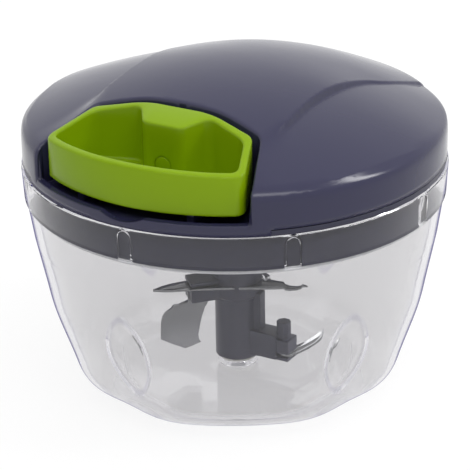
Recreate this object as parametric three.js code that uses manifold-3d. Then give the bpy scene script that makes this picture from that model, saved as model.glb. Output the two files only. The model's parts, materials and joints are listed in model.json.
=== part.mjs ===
// Hand powered food chopper: a clear lobed bowl, a domed lid with a pull handle on a cord,
// a cord drum with a return spring inside the lid, and a blade shaft that the drum spins.
// Millimetres, +Z up. The foot stands on z = 0, the axis is x = y = 0, the handle faces -Y.

import * as THREE from 'three';
import { mergeVertices } from 'three/addons/utils/BufferGeometryUtils.js';
import Module from 'manifold-3d';

const wasm = await Module();
wasm.setup();

// Driving dimensions of the whole object
const rimRadius = 64; // outside of the bowl's rim, the widest place
const rimHeight = 73; // top of the rim above the table
const domeRise = 29; // top of the lid above the rim
const seatGap = 0.3; // air between pieces that rest on each other
const runGap = 0.4; // air between pieces that turn or slide
const overrun = 2; // how far a cutting body reaches past what it cuts
const cordDiameter = 1.8;
const cordRise = 10.4;
const cordLevel = rimHeight + cordRise; // height at which the cord leaves the lid
const armTurn = Math.PI / 6; // the blade arms stand this far round from +X

// Fineness of round work
const roundSteps = 48;
const smallSteps = 24;
const pinSteps = 16;
const cornerSteps = 6;

// Helpers: geometry to solid and back, profiles, outlines and lofts

const solidOf = (geometry) => {
  const bare = geometry.clone();
  bare.deleteAttribute('normal');
  bare.deleteAttribute('uv');
  const merged = mergeVertices(bare);
  const index = merged.index.array;
  const kept = [];
  for (let i = 0; i < index.length; i += 3) {
    const [a, b, c] = [index[i], index[i + 1], index[i + 2]];
    if (a !== b && b !== c && c !== a) kept.push(a, b, c);
  }
  return new wasm.Manifold(new wasm.Mesh({
    numProp: 3,
    vertProperties: new Float32Array(merged.attributes.position.array),
    triVerts: new Uint32Array(kept),
  }));
};

const geometryOf = (solid) => {
  const mesh = solid.getMesh();
  const geometry = new THREE.BufferGeometry();
  geometry.setAttribute('position', new THREE.BufferAttribute(mesh.vertProperties, 3));
  geometry.setIndex(new THREE.BufferAttribute(mesh.triVerts, 1));
  geometry.computeVertexNormals();
  return geometry;
};

// A turned solid: the profile runs [radius, z], up the outside first
const turned = (profile, steps = roundSteps) => {
  const points = profile.map(([radius, z]) => new THREE.Vector2(radius, z));
  return solidOf(new THREE.LatheGeometry(points, steps).rotateX(Math.PI / 2));
};

// A turned solid whose profile is a closed ring that doesn't touch the axis
const ring = (profile, steps = roundSteps) => turned([...profile, profile[0]], steps);

const disc = (radius, low, high, steps = roundSteps) =>
  turned([[0, low], [radius, low], [radius, high], [0, high]], steps);

const tubeRing = (inner, outer, low, high, steps = roundSteps) =>
  ring([[inner, low], [outer, low], [outer, high], [inner, high]], steps);

// A prism over an outline of [x, y] points
const prism = (outline, low, high) => {
  const shape = new THREE.Shape(outline.map(([x, y]) => new THREE.Vector2(x, y)));
  const geometry = new THREE.ExtrudeGeometry(shape, { depth: high - low, bevelEnabled: false });
  return solidOf(geometry.translate(0, 0, low));
};

const block = (lowX, highX, lowY, highY, low, high) =>
  prism([[lowX, lowY], [highX, lowY], [highX, highY], [lowX, highY]], low, high);

// A closed loft through rings of [x, y, z] points, fanned shut at both ends
const lofted = (rings) => {
  const count = rings[0].length;
  const positions = [];
  const index = [];
  const centre = (points) => [0, 1, 2].map((k) => points.reduce((sum, p) => sum + p[k], 0) / count);
  rings.forEach((points) => points.forEach((p) => positions.push(...p)));
  positions.push(...centre(rings[0]), ...centre(rings.at(-1)));
  const last = rings.length * count;
  for (let j = 0; j < count; j += 1) {
    const next = (j + 1) % count;
    for (let i = 0; i + 1 < rings.length; i += 1) {
      const [a, b] = [i * count + j, i * count + next];
      index.push(a, b, b + count, a, b + count, a + count);
    }
    index.push(last, next, j);
    index.push(last + 1, last - count + j, last - count + next);
  }
  const geometry = new THREE.BufferGeometry();
  geometry.setAttribute('position', new THREE.Float32BufferAttribute(positions, 3));
  geometry.setIndex(index);
  return solidOf(geometry);
};

// A closed outline whose corners [x, y, radius] are rounded by arcs
const rounded = (corners, arcSteps = cornerSteps) => corners.flatMap(([x, y, radius], i) => {
  if (!radius) return [[x, y]];
  const [beforeX, beforeY] = corners.at(i - 1);
  const [afterX, afterY] = corners[(i + 1) % corners.length];
  const corner = new THREE.Vector2(x, y);
  const back = new THREE.Vector2(beforeX - x, beforeY - y).normalize();
  const ahead = new THREE.Vector2(afterX - x, afterY - y).normalize();
  const half = Math.acos(THREE.MathUtils.clamp(back.dot(ahead), -1, 1)) / 2;
  const reach = radius / Math.tan(half);
  const middle = back.clone().add(ahead).setLength(radius / Math.sin(half)).add(corner);
  const start = back.multiplyScalar(reach).add(corner).sub(middle);
  const end = ahead.multiplyScalar(reach).add(corner).sub(middle);
  const turn = Math.atan2(start.cross(end), start.dot(end));
  return Array.from({ length: arcSteps + 1 }, (_, k) => {
    const point = start.clone().rotateAround(new THREE.Vector2(), turn * k / arcSteps).add(middle);
    return [point.x, point.y];
  });
});

const mirrored = (half) => [...half, ...half.map(([x, ...rest]) => [-x, ...rest]).reverse()];

const polar = (radius, angle) => [radius * Math.cos(angle), radius * Math.sin(angle)];

const around = (count, make, first = 0) =>
  Array.from({ length: count }, (_, i) => make(first + i * 2 * Math.PI / count, i));

// Lengths given as shares of the rim's radius
const ofRadius = (shares) => Object.fromEntries(
  Object.entries(shares).map(([name, share]) => [name, share * rimRadius]),
);

const turnedBy = (solid, angle) => solid.rotate([0, 0, THREE.MathUtils.radToDeg(angle)]);

const joined = (solids) => solids.reduce((sum, solid) => sum.add(solid));

const without = (solid, cuts) => cuts.reduce((rest, cut) => rest.subtract(cut), solid);

// A round bar along -Y at a height, from one reach to another on the handle's side
const barTowardsFront = (radius, near, far, level, steps = pinSteps) =>
  disc(radius, near, far, steps).rotate([90, 0, 0]).translate([0, 0, level]);

// A tube of round section along a curve
const tube = (curve, radius, steps, sides) => {
  const section = new THREE.Shape(around(sides, (a) => new THREE.Vector2(...polar(radius, a))));
  return solidOf(new THREE.ExtrudeGeometry(section, {
    steps, bevelEnabled: false, extrudePath: curve,
  }));
};

// Least gap between stretches of one winding, measured on points along its middle line
const leastGap = (curve, thickness, samples, skip) => {
  const points = curve.getPoints(samples);
  let least = Infinity;
  for (let i = 0; i < points.length; i += 1) {
    for (let j = i + skip; j < points.length; j += 1) {
      least = Math.min(least, points[i].distanceTo(points[j]));
    }
  }
  return least - thickness;
};

// Materials

const finish = (color, roughness, metalness = 0, more = {}) =>
  new THREE.MeshStandardMaterial({ color, roughness, metalness, ...more });

const clearPlastic = finish(0xe6e8ea, 0.06, 0, { transparent: true, opacity: 0.3 });
const slatePlastic = finish(0x45465a, 0.28);
const darkPlastic = finish(0x3c3d4c, 0.42);
const limePlastic = finish(0x86a80f, 0.3);
const paleSilicone = finish(0xd9dbdd, 0.5, 0, { transparent: true, opacity: 0.8 });
const whiteNylon = finish(0xe4e2da, 0.45);
const steel = finish(0xb9bcc0, 0.25, 1);
const springSteel = finish(0x7f868f, 0.35, 1);
const cordFibre = finish(0xd8d8d2, 0.85);

const part = new THREE.Group();

const place = (name, solid, material) => {
  const mesh = new THREE.Mesh(geometryOf(solid), material);
  mesh.name = name;
  part.add(mesh);
};

// Bowl: one clear moulding with four lobes, a thick base, a straight rim band with eight
// lug blocks on its inside, and a boss that holds the pivot pin

const bowlWall = 2.2;
const rimWall = 2.4;
const rimBand = 9.8;
const baseThickness = 4;
const footRecess = 0.8;
const footRecessShare = 0.406; // of the rim's radius
const floorRound = 3; // wall thicknesses between the foot of the inner wall and the flat floor
const lobeCount = 4;
const lobeTurn = THREE.MathUtils.degToRad(-60); // first lobe, from +X
const lobeSwell = 3.4; // how far the wall swells out at each side of a lobe's middle
const fluteDepth = 3.6; // how far the wall draws in between two lobes, at the foot
const fluteFade = 28; // height above the foot at which the flutes have run out
const fluteSharpness = 4;
const ledgeStep = 0.5;
const wallShares = [ // [share of the rim's height, share of the rim's radius]
  [0, 0.53], [0.012, 0.57], [0.036, 0.637], [0.07, 0.717], [0.12, 0.77], [0.2, 0.808],
  [0.37, 0.879], [0.53, 0.918], [0.7, 0.957],
];
const bandFoot = rimHeight - rimBand;
const footRecessRadius = footRecessShare * rimRadius;
const bandRadius = rimRadius - ledgeStep;
const rimInside = rimRadius - rimWall;
const ledgeInside = bandRadius - ledgeStep - bowlWall;

const flute = (angle, z) => {
  const fade = Math.max(0, 1 - z / fluteFade);
  const between = (1 - Math.cos(lobeCount * (angle - lobeTurn))) / 2;
  const drawn = fluteDepth * between ** fluteSharpness - lobeSwell * between;
  return THREE.MathUtils.smoothstep(fade, 0, 1) * drawn;
};

const bowlRing = (radius, z, draw = 1) => around(roundSteps, (angle) => {
  const [x, y] = polar(radius - draw * flute(angle, z), angle);
  return [x, y, z];
});

const pinRadius = 2.5;
const pinFoot = 2.4;
const pinTop = 31;
const bossRadius = 6;
const bossRise = 1.4;
const lugCount = 8;
const lugTurn = -Math.PI / 2;
const lugWidth = 4;
const lugTopDrop = 1.4;
const lugRoundShare = 0.98; // of half the lug's width
const lugArcSteps = 4;
const lugDepth = rimInside - ledgeInside;

const lugShape = (angle, width, reach, depth, foot, top) => {
  const half = width / 2;
  const round = half * lugRoundShare;
  const outline = rounded([
    [-half, foot, 0], [half, foot, 0], [half, top, round], [-half, top, round],
  ], lugArcSteps);
  const upright = prism(outline, 0, depth).rotate([90, 0, 90]).translate([reach, 0, 0]);
  return turnedBy(upright, angle);
};

const makeBowl = () => {
  const outside = wallShares.map(([up, out]) => [rimRadius * out, rimHeight * up]);
  const floor = baseThickness;
  const insideFoot = outside.filter(([, z]) => z > floor);
  const rings = [
    bowlRing(footRecessRadius, footRecess, 0),
    bowlRing(footRecessRadius + footRecess, 0, 0),
    ...outside.map(([radius, z]) => bowlRing(radius, z)),
    bowlRing(bandRadius - ledgeStep, bandFoot),
    bowlRing(bandRadius, bandFoot),
    bowlRing(rimRadius, rimHeight),
    bowlRing(rimInside, rimHeight),
    bowlRing(rimInside, bandFoot + ledgeStep),
    bowlRing(ledgeInside, bandFoot),
    ...insideFoot.reverse().map(([radius, z]) => bowlRing(radius - bowlWall, z)),
    bowlRing(insideFoot.at(-1)[0] - floorRound * bowlWall, floor),
  ];
  const lugs = around(lugCount, (angle) => lugShape(
    angle, lugWidth, ledgeInside, lugDepth + rimWall / 2,
    rimHeight - rimBand, rimHeight - lugTopDrop,
  ), lugTurn);
  const boss = disc(bossRadius, floor / 2, floor + bossRise, smallSteps);
  const pinHole = disc(pinRadius + seatGap, pinFoot - seatGap, floor + bossRise + overrun, pinSteps);
  return without(joined([lofted(rings), ...lugs, boss]), [pinHole]);
};

place('bowl', makeBowl(), clearPlastic);

// Pivot pin: steel, pressed into the boss, with a rounded nose

const noseShare = 0.6; // of the pin's radius
const makePin = () => turned([
  [0, pinFoot], [pinRadius, pinFoot], [pinRadius, pinTop - pinRadius * noseShare],
  [pinRadius * noseShare, pinTop], [0, pinTop],
], pinSteps);

place('pivot_pin', makePin(), steel);

// Lid shell: the raised band and the two lower sides are caps over the same shoulder

const lidRadius = rimRadius - ledgeStep;
const lidWall = 2.2;
const shoulderRise = 13;
const sideRise = 26.2;
const seamRise = 2.2; // the cover's edge above the rim, where the base's lip shows below it
const shoulderRadius = lidRadius - ledgeStep;
const wallHeightShare = 0.72; // how far up to the shoulder the wall stands straight
const bandShares = [ // half the width of the raised band, and the place along it
  [0.638, -1.03], [0.577, -0.744], [0.491, -0.575], [0.481, -0.347], [0.477, -0.094], [0.493, 0.159],
  [0.519, 0.337], [0.565, 0.496], [0.602, 0.754], [0.614, 1.03],
];
const bandSteps = 30;
const apronHalfAngle = THREE.MathUtils.degToRad(39); // front part of the cover without a seam
const apronSteps = 12;

const capHeight = (radius, rise) =>
  rimHeight + shoulderRise + (rise - shoulderRise) * (1 - (radius / shoulderRadius) ** 2);

const capRings = 6;
const capProfile = (rise, inset) => {
  const edge = shoulderRadius - inset;
  const steps = Array.from({ length: capRings }, (_, i) => edge * (1 - i / capRings));
  return [...steps.map((radius) => [radius, capHeight(radius, rise) - inset]),
    [0, capHeight(0, rise) - inset]];
};

const capSolid = (rise, inset, low) => turned([
  [0, low], [lidRadius - inset, low], [lidRadius - inset, rimHeight + shoulderRise * wallHeightShare],
  ...capProfile(rise, inset),
]);

const bandOutline = (inset) => {
  const half = bandShares.map(([out, along]) =>
    new THREE.Vector2(out * rimRadius - inset, along * rimRadius));
  return mirrored(new THREE.SplineCurve(half).getPoints(bandSteps).map((p) => [p.x, p.y]));
};

// Recess for the handle: back wall, two slanted sides, open at the front

const recess = ofRadius({
  back: 0.453, // back wall from the axis
  backHalf: 0.1875,
  sideHalf: 0.431,
  sideBack: 0.5125,
  mouthHalf: 0.6156,
  mouth: 0.9766,
});
const recessCorner = 4.5;
const recessBow = 30;
const leastCorner = 1;
const cornerInsetShare = 0.6; // how much of an inset comes off the corner's radius
const backInsetShare = 0.2; // how much of it comes off the half width of the back
const recessFloorRise = 1.9;
const recessWall = 2;
const lipRise = 3.7;
const notchHalf = 7;
const notchDepth = 1.8;
const handleGap = 2;
const handleFootRise = 5.3;
const railPlace = 18; // two rails on the recess floor carry the handle
const railHalf = 1.2;
const railMargin = 5;

// The recess outline, drawn in by inset; the front runs on past the wall
const recessCorners = (inset) => {
  const side = new THREE.Vector2(recess.mouthHalf - recess.sideHalf, recess.sideBack - recess.mouth)
    .normalize();
  const slant = inset / Math.cos(Math.atan2(side.x, -side.y));
  const along = (y) => recess.sideHalf + (recess.sideBack - y) * side.x / side.y - slant;
  const backY = recess.sideBack + inset * (1 + side.x / 2);
  return { along, backY, corner: Math.max(recessCorner - inset * cornerInsetShare, leastCorner) };
};

const recessOutline = (inset, front) => {
  const { along, backY, corner } = recessCorners(inset);
  return rounded(mirrored([
    [along(front), -front, 0], [along(backY), -backY, corner],
    [recess.backHalf - inset * backInsetShare, -recess.back - inset, recessBow],
  ]));
};

const sector = (halfAngle, reach) => {
  const arc = Array.from({ length: apronSteps + 1 }, (_, i) =>
    polar(reach, -Math.PI / 2 - halfAngle + 2 * halfAngle * i / apronSteps));
  return [[0, 0], ...arc];
};

// Crescent ledge at each side: cut down to the shoulder outside a flatter arc
const ledgeFrom = THREE.MathUtils.degToRad(37);
const ledgeTo = THREE.MathUtils.degToRad(99);
const ledgeDepth = 3.4;
const ledgeSkewShare = 0.62;
const ledgeSharpness = 1.3;
const ledgeSteps = 16;

const ledgeCut = () => {
  const start = ledgeFrom - Math.PI / 2;
  const sweep = ledgeTo - ledgeFrom;
  const inner = Array.from({ length: ledgeSteps + 1 }, (_, i) => {
    const t = i / ledgeSteps;
    const skewed = t < ledgeSkewShare ? t / ledgeSkewShare : (1 - t) / (1 - ledgeSkewShare);
    const depth = ledgeDepth * Math.sin(skewed * Math.PI / 2) ** ledgeSharpness;
    return polar(lidRadius + ledgeStep - depth, start + sweep * t);
  });
  const outer = [
    polar(rimRadius + ledgeDepth, start),
    polar(rimRadius + 2 * ledgeDepth, start + sweep / 2),
    polar(rimRadius + ledgeDepth, start + sweep),
  ];
  return prism([...outer, ...inner.reverse()], rimHeight + shoulderRise, rimHeight + domeRise);
};

// Screw bosses that hang from the cover down to the base
const skirtWall = 3.4;
const skirtOutside = rimInside - runGap;
const skirtInside = skirtOutside - skirtWall;
const lidBossMargin = 0.7;
const lidScrewTurns = [-28, 52, 128, 208]; // degrees from +X
const screwRadius = 1.5;
const screwHeadRadius = 3;
const screwHeadHeight = 1.8;
const lidScrewLength = 11;
const lidBossRadius = 3.6;
const lidScrewCircle = skirtInside - lidBossRadius - lidBossMargin;
const plateDrop = 0.4;
const plateTop = rimHeight - plateDrop;
const plateThickness = 2;
const plateFoot = plateTop - plateThickness;

const lidScrewPlaces = lidScrewTurns.map((turn) =>
  polar(lidScrewCircle, THREE.MathUtils.degToRad(turn)));

// Hole in the recess wall for the cord guide
const guideHoleRadius = 3.4;

const coverFoot = rimHeight + seatGap;
const coverTop = rimHeight + domeRise + overrun;

const makeRails = () => {
  const back = recess.sideBack + railMargin;
  const front = lidRadius - lidWall - railMargin;
  const low = rimHeight + recessFloorRise - recessWall / 2;
  const rail = block(railPlace - railHalf, railPlace + railHalf, -front, -back,
    low, rimHeight + handleFootRise - seatGap);
  return rail.add(rail.mirror([1, 0, 0]));
};

const makeShell = () => {
  const band = prism(bandOutline(0), coverFoot, coverTop);
  const ledge = ledgeCut();
  const outer = without(
    capSolid(sideRise, 0, coverFoot).add(capSolid(domeRise, 0, coverFoot).intersect(band)),
    [ledge, ledge.mirror([1, 0, 0])],
  );
  const low = coverFoot - overrun;
  const innerBand = prism(bandOutline(lidWall), low, rimHeight + domeRise);
  const inner = capSolid(sideRise, lidWall, low)
    .add(capSolid(domeRise, lidWall, low).intersect(innerBand));
  const within = outer.add(disc(shoulderRadius - lidWall, plateTop, coverFoot + overrun));
  const bosses = lidScrewPlaces.map(([x, y]) => disc(
    lidBossRadius, plateTop + seatGap, rimHeight + domeRise, smallSteps,
  ).translate([x, y, 0]).intersect(within));
  const tub = prism(recessOutline(-recessWall, rimRadius + overrun), coverFoot, coverTop);
  return joined([outer.subtract(inner), tub.intersect(outer), ...bosses]);
};

const makeRecessCuts = () => {
  const pocket = prism(recessOutline(0, rimRadius), rimHeight + recessFloorRise, coverTop)
    .intersect(disc(lidRadius - lidWall, rimHeight, coverTop + overrun));
  const mouth = prism(recessOutline(0, rimRadius + overrun), rimHeight + lipRise, coverTop);
  const notchRadius = (notchHalf ** 2 + notchDepth ** 2) / (2 * notchDepth);
  const notch = barTowardsFront(notchRadius, lidRadius - lidWall * 2, rimRadius + overrun,
    rimHeight + lipRise - notchDepth + notchRadius, roundSteps);
  return [pocket, mouth, notch];
};

const makeSeamCut = () => {
  const high = rimHeight + seamRise;
  const low = coverFoot - overrun;
  const apron = prism(sector(apronHalfAngle, rimRadius + 3 * overrun), low - overrun, high + overrun);
  return disc(rimRadius + overrun, low, high).subtract(apron)
    .subtract(disc(lidRadius - lidWall - overrun, low - overrun, high + overrun));
};

const makeCover = () => {
  const guideHole = barTowardsFront(guideHoleRadius, recess.back - 3 * recessWall,
    recess.back + recessWall, cordLevel);
  const screwHoles = lidScrewPlaces.map(([x, y]) => disc(
    screwRadius + seatGap, coverFoot - overrun, plateTop + lidScrewLength - plateThickness, pinSteps,
  ).translate([x, y, 0]));
  const shell = without(makeShell(), [...makeRecessCuts(), makeSeamCut(), guideHole, ...screwHoles]);
  return shell.add(makeRails());
};

place('lid_cover', makeCover(), slatePlastic);

// Lid base: the plate that closes the lid from below, the skirt that fits in the rim, a thin
// lip under the cover, a bearing boss, screw bosses and stiffening ribs

const skirtDrop = 7.8;
const tongueDrop = 12.2;
const tongueWall = 1;
const tongueOutside = skirtInside + tongueWall;
const collarOutside = lidRadius - lidWall - seatGap;
const collarRise = 3.4;
const notchSide = 0.5; // air at each side of a lug in its notch
const notchClear = 1;
const notchInside = ledgeInside - notchClear;
const bushOutside = 9;
const bushInside = 7.4;
const bushLength = 5.8;
const bearingWall = 2.2;
const bearingDrop = 6.6;
const ribCount = 8;
const ribThickness = 1.2;
const ribDepth = 2.5;
const housingScrewCount = 3;
const housingClear = 2.2; // between the drum housing and the back wall of the recess
const housingOutside = recess.back - recessWall - housingClear;
const housingScrewOut = 4.2;
const housingScrewCircle = housingOutside + housingScrewOut;
const housingScrewLength = 8;
const housingBossRadius = 3.4;
const housingBossDrop = 6.8;
const earThickness = 2.2;

const housingScrewPlaces = around(
  housingScrewCount, (angle) => polar(housingScrewCircle, angle), Math.PI / 2,
);

const makeSkirt = () => {
  const skirt = ring([
    [skirtInside, rimHeight - tongueDrop], [tongueOutside, rimHeight - tongueDrop],
    [tongueOutside, rimHeight - skirtDrop], [skirtOutside, rimHeight - skirtDrop],
    [skirtOutside, rimHeight], [collarOutside, rimHeight],
    [collarOutside, rimHeight + collarRise], [skirtInside, rimHeight + collarRise],
  ]);
  const lipFoot = rimHeight + seatGap;
  const lipTop = rimHeight + seamRise - seatGap;
  const lip = tubeRing(skirtInside, lidRadius, lipFoot, lipTop);
  const front = prism(
    sector(apronHalfAngle, rimRadius + 3 * overrun), lipFoot - overrun, lipTop + overrun,
  ).subtract(disc(collarOutside, lipFoot - 2 * overrun, lipTop + 2 * overrun));
  return skirt.add(lip.subtract(front));
};

const makeBaseRibs = () => around(ribCount, (angle) => turnedBy(block(
  bushOutside + bearingWall, skirtInside + tongueWall / 2, -ribThickness / 2, ribThickness / 2,
  plateFoot - ribDepth, plateFoot + ribThickness / 2,
), angle), Math.PI / ribCount);

const makeBaseHoles = () => {
  const low = plateFoot - overrun;
  const high = plateTop + overrun;
  const hole = (radius, from, [x, y]) => disc(radius, from, high, pinSteps).translate([x, y, 0]);
  const housingFoot = plateTop + earThickness - housingScrewLength;
  return [
    disc(bushOutside + seatGap, rimHeight - bearingDrop - overrun, high, smallSteps),
    ...lidScrewPlaces.map((at) => hole(screwRadius + seatGap, low, at)),
    ...housingScrewPlaces.map((at) => hole(screwRadius + seatGap, housingFoot, at)),
  ];
};

const makeBase = () => {
  const plate = disc(skirtInside + skirtWall / 2, plateFoot, plateTop);
  const bearing = disc(
    bushOutside + seatGap + bearingWall, rimHeight - bearingDrop, plateTop, smallSteps,
  );
  const bosses = housingScrewPlaces.map(([x, y]) =>
    disc(housingBossRadius, rimHeight - housingBossDrop, plateTop, smallSteps).translate([x, y, 0]));
  const tub = prism(recessOutline(-recessWall - seatGap, rimRadius + overrun),
    rimHeight, rimHeight + 2 * collarRise);
  const notches = around(lugCount, (angle) => lugShape(
    angle, lugWidth + 2 * notchSide, notchInside, lugDepth + rimWall,
    rimHeight - tongueDrop - overrun, rimHeight - lugTopDrop + notchSide,
  ), lugTurn);
  return without(joined([plate, makeSkirt(), bearing, ...makeBaseRibs(), ...bosses]),
    [tub, ...notches, ...makeBaseHoles()]);
};

place('lid_base', makeBase(), darkPlastic);

// Seal: a soft ring on the tongue below the skirt, with two lips

const sealLip = 0.4;
const sealLipHeight = 0.6;

const makeSeal = () => {
  const inside = tongueOutside + seatGap;
  const outside = ledgeInside - runGap;
  const low = rimHeight - tongueDrop + seatGap;
  const high = rimHeight - skirtDrop - seatGap;
  const body = outside - sealLip;
  return ring([
    [inside, low], [body, low], [outside, low + sealLipHeight], [body, low + 2 * sealLipHeight],
    [body, high - 2 * sealLipHeight], [outside, high - sealLipHeight], [body, high], [inside, high],
  ]);
};

place('lid_seal', makeSeal(), paleSilicone);

// Screws: a low round head with a cross recess and a plain shank

const recessSlot = 0.8;
const recessSlotDepth = 0.9;

const makeScrew = (length) => {
  const body = turned([
    [0, -length], [screwRadius, -length], [screwRadius, 0], [screwHeadRadius, 0],
    [screwHeadRadius, screwHeadHeight / 2], [screwHeadRadius - screwHeadHeight / 2, screwHeadHeight],
    [0, screwHeadHeight],
  ], pinSteps);
  const arm = block(-screwHeadRadius / 2, screwHeadRadius / 2, -recessSlot / 2, recessSlot / 2,
    screwHeadHeight - recessSlotDepth, screwHeadHeight + overrun);
  return without(body, [arm, arm.rotate([0, 0, 90])]);
};

lidScrewPlaces.forEach(([x, y], i) => place(`lid_screw_${i + 1}`,
  makeScrew(lidScrewLength).rotate([180, 0, 0]).translate([x, y, plateFoot - seatGap]), steel));

// Bearing bush in the base and thrust washer on it

const washerThickness = 0.9;
const washerOutside = 12;

place('drum_bush', tubeRing(
  bushInside, bushOutside, plateTop - seatGap - bushLength, plateTop - seatGap, smallSteps,
), whiteNylon);
place('drum_washer', tubeRing(
  bushInside, washerOutside, plateTop + seatGap, plateTop + seatGap + washerThickness, smallSteps,
), steel);

// Cord drum: hub through the bush, groove for the cord, cup for the spring

const drumSteps = 40;
const hubRadius = bushInside - runGap;
const hubDrop = 6.9;
const driveHexRadius = 5.2;
const driveHexDepth = 2.3;
const drumFoot = plateTop + seatGap + washerThickness + seatGap;
const housingWall = 1.6;
const housingInside = housingOutside - housingWall;
const drumClear = 1.6; // between the drum and the inside of its housing
const grooveDepth = 2.9;
const drumFlange = housingInside - drumClear;
const drumCore = drumFlange - grooveDepth;
const drumWeb = 1.4;
const lowerFlange = 2;
const grooveHead = 1.7; // room in the groove above the middle of the top turn
const grooveFoot = drumFoot + lowerFlange;
const grooveTop = cordLevel + grooveHead;
const cupFloor = grooveTop + drumWeb;
const cupDepth = 6.5;
const cupTop = cupFloor + cupDepth;
const cupWall = 1.8;
const spindleRadius = 2.5;
const spindleRise = 1;
const spindleFoot = rimHeight + spindleRise;
const spindleBore = spindleRadius + seatGap;
const couplerScrewRadius = 1.9;
const pitchRadius = drumCore + seatGap + cordDiameter / 2;

const bendRadius = 5;
const bendBack = 3.6; // from the recess to where the cord would turn a sharp corner
const cordBend = new THREE.Vector2(0, bendBack - recess.back);
const cordLeaves = (() => { // tangent point on the drum, on the +X side
  const away = Math.acos(pitchRadius / cordBend.length());
  return new THREE.Vector2(...polar(pitchRadius, -Math.PI / 2 + away));
})();
const cordRuns = cordBend.clone().sub(cordLeaves).normalize();

const hexagonSides = 6;
const hexagon = (radius) => around(hexagonSides, (angle) => polar(radius, angle));

const windingGap = 0.45;
const windingTurns = 2.4;
const windingPitch = cordDiameter + windingGap;
const windingFall = windingPitch * windingTurns;
const pullTravel = windingTurns * 2 * Math.PI * pitchRadius; // how far the handle pulls out

class Winding extends THREE.Curve {
  getPoint(t, target = new THREE.Vector3()) {
    const along = t * (pullTravel + 2 * cordDiameter) - cordDiameter;
    const onDrum = THREE.MathUtils.clamp(along, 0, pullTravel);
    const angle = cordLeaves.angle() + onDrum / pitchRadius;
    const straight = along - onDrum; // the two ends run off straight
    return target.set(
      pitchRadius * Math.cos(angle) - straight * Math.sin(angle),
      pitchRadius * Math.sin(angle) + straight * Math.cos(angle),
      cordLevel - windingFall * onDrum / pullTravel,
    );
  }
}

// Rib across the groove that the end of the cord is made fast to, below the turn above it
const anchorWidth = 2.4;
const anchorPlace = pullTravel + 2 * cordDiameter + anchorWidth;
const anchorAngle = cordLeaves.angle() + anchorPlace / pitchRadius;
const anchorTop = cordLevel - windingFall + cordDiameter / 2 - seatGap / 2;

const makeDrum = () => {
  const rimOfHub = washerOutside - driveHexDepth / 2;
  const body = ring([
    [couplerScrewRadius + runGap, rimHeight - hubDrop], [hubRadius, rimHeight - hubDrop],
    [hubRadius, drumFoot], [rimOfHub, drumFoot], [rimOfHub, grooveTop - drumWeb],
    [drumCore - drumWeb, grooveTop - drumWeb], [drumCore - drumWeb, drumFoot],
    [drumFlange, drumFoot], [drumFlange, grooveFoot], [drumCore, grooveFoot], [drumCore, grooveTop],
    [drumFlange, grooveTop], [drumFlange, cupTop], [drumFlange - cupWall, cupTop],
    [drumFlange - cupWall, cupFloor], [spindleBore, cupFloor],
    [spindleBore, spindleFoot - seatGap], [couplerScrewRadius + runGap, spindleFoot - seatGap],
  ], drumSteps);
  const hubFoot = rimHeight - hubDrop;
  const hex = prism(hexagon(driveHexRadius), hubFoot - driveHexDepth, hubFoot + drumWeb)
    .subtract(disc(couplerScrewRadius + runGap, hubFoot - hubDrop, rimHeight, pinSteps));
  const anchor = turnedBy(block(
    drumCore - drumWeb / 2, drumFlange - drumWeb / 2, -anchorWidth / 2, anchorWidth / 2,
    grooveFoot - drumWeb / 2, anchorTop,
  ), anchorAngle);
  return joined([body, hex, anchor]);
};

place('cord_drum', makeDrum(), whiteNylon);

const winding = new Winding();
const loopSteps = 24;
const windingSides = 6;
const windingSteps = Math.ceil(loopSteps * windingTurns) + 2;
const gapSamples = 240;
const gapSkip = 60; // samples to the next turn's near side
place('cord_winding', tube(winding, cordDiameter / 2, windingSteps, windingSides), cordFibre);
const windingLeast = leastGap(winding, cordDiameter, gapSamples, gapSkip);
console.log(`cord winding: least gap ${windingLeast.toFixed(2)} mm`);

// Return spring: a flat strip wound in the cup round the spindle

const stripThickness = 0.5;
const springTurns = 5;
const springLoopSteps = 18;
const springInside = spindleRadius + runGap + stripThickness / 2;
const springOutside = drumFlange - cupWall - runGap - stripThickness / 2;

const springRadius = (t) => springInside + (springOutside - springInside) * t;

const makeSpring = () => {
  const steps = springTurns * springLoopSteps;
  const edge = (offset) => Array.from({ length: steps + 1 }, (_, i) =>
    polar(springRadius(i / steps) + offset, i * 2 * Math.PI / springLoopSteps));
  const outline = [...edge(stripThickness / 2), ...edge(-stripThickness / 2).reverse()];
  return prism(outline, cupFloor + seatGap, cupTop - seatGap);
};

place('return_spring', makeSpring(), springSteel);
const springPitch = (springOutside - springInside) / springTurns;
console.log(`return spring: least gap ${(springPitch - stripThickness).toFixed(2)} mm`);

// Housing over the drum, with the spindle in its top and a window for the cord

const housingRoof = 1.9;
const earRadius = 3.8;
const windowHalf = 4.6;
const windowLow = 3.6;
const windowHigh = 2.6;
const spindleHead = 4;
const spindleHeadHeight = 1.2;
const roofFoot = cupTop + runGap;

const makeHousing = () => {
  const foot = plateTop + seatGap;
  const cap = ring([
    [housingInside, foot], [housingOutside, foot], [housingOutside, roofFoot + housingRoof],
    [spindleBore, roofFoot + housingRoof], [spindleBore, roofFoot], [housingInside, roofFoot],
  ], drumSteps);
  const ears = housingScrewPlaces.map(([x, y]) => {
    const angle = Math.atan2(y, x);
    const web = turnedBy(block(
      housingOutside - housingWall / 2, housingScrewCircle, -earRadius, earRadius,
      foot, foot + earThickness,
    ), angle);
    return disc(earRadius, foot, foot + earThickness, smallSteps).translate([x, y, 0]).add(web);
  });
  const window = block(cordBend.x - windowHalf, cordLeaves.x + windowHalf, -housingOutside - overrun,
    cordLeaves.y, cordLevel - windowLow, cordLevel + windowHigh);
  const holes = housingScrewPlaces.map(([x, y]) => disc(
    screwRadius + seatGap, foot - overrun, foot + earThickness + overrun, pinSteps,
  ).translate([x, y, 0]));
  return without(joined([cap, ...ears]), [window, ...holes]);
};

place('drum_housing', makeHousing(), darkPlastic);

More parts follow.
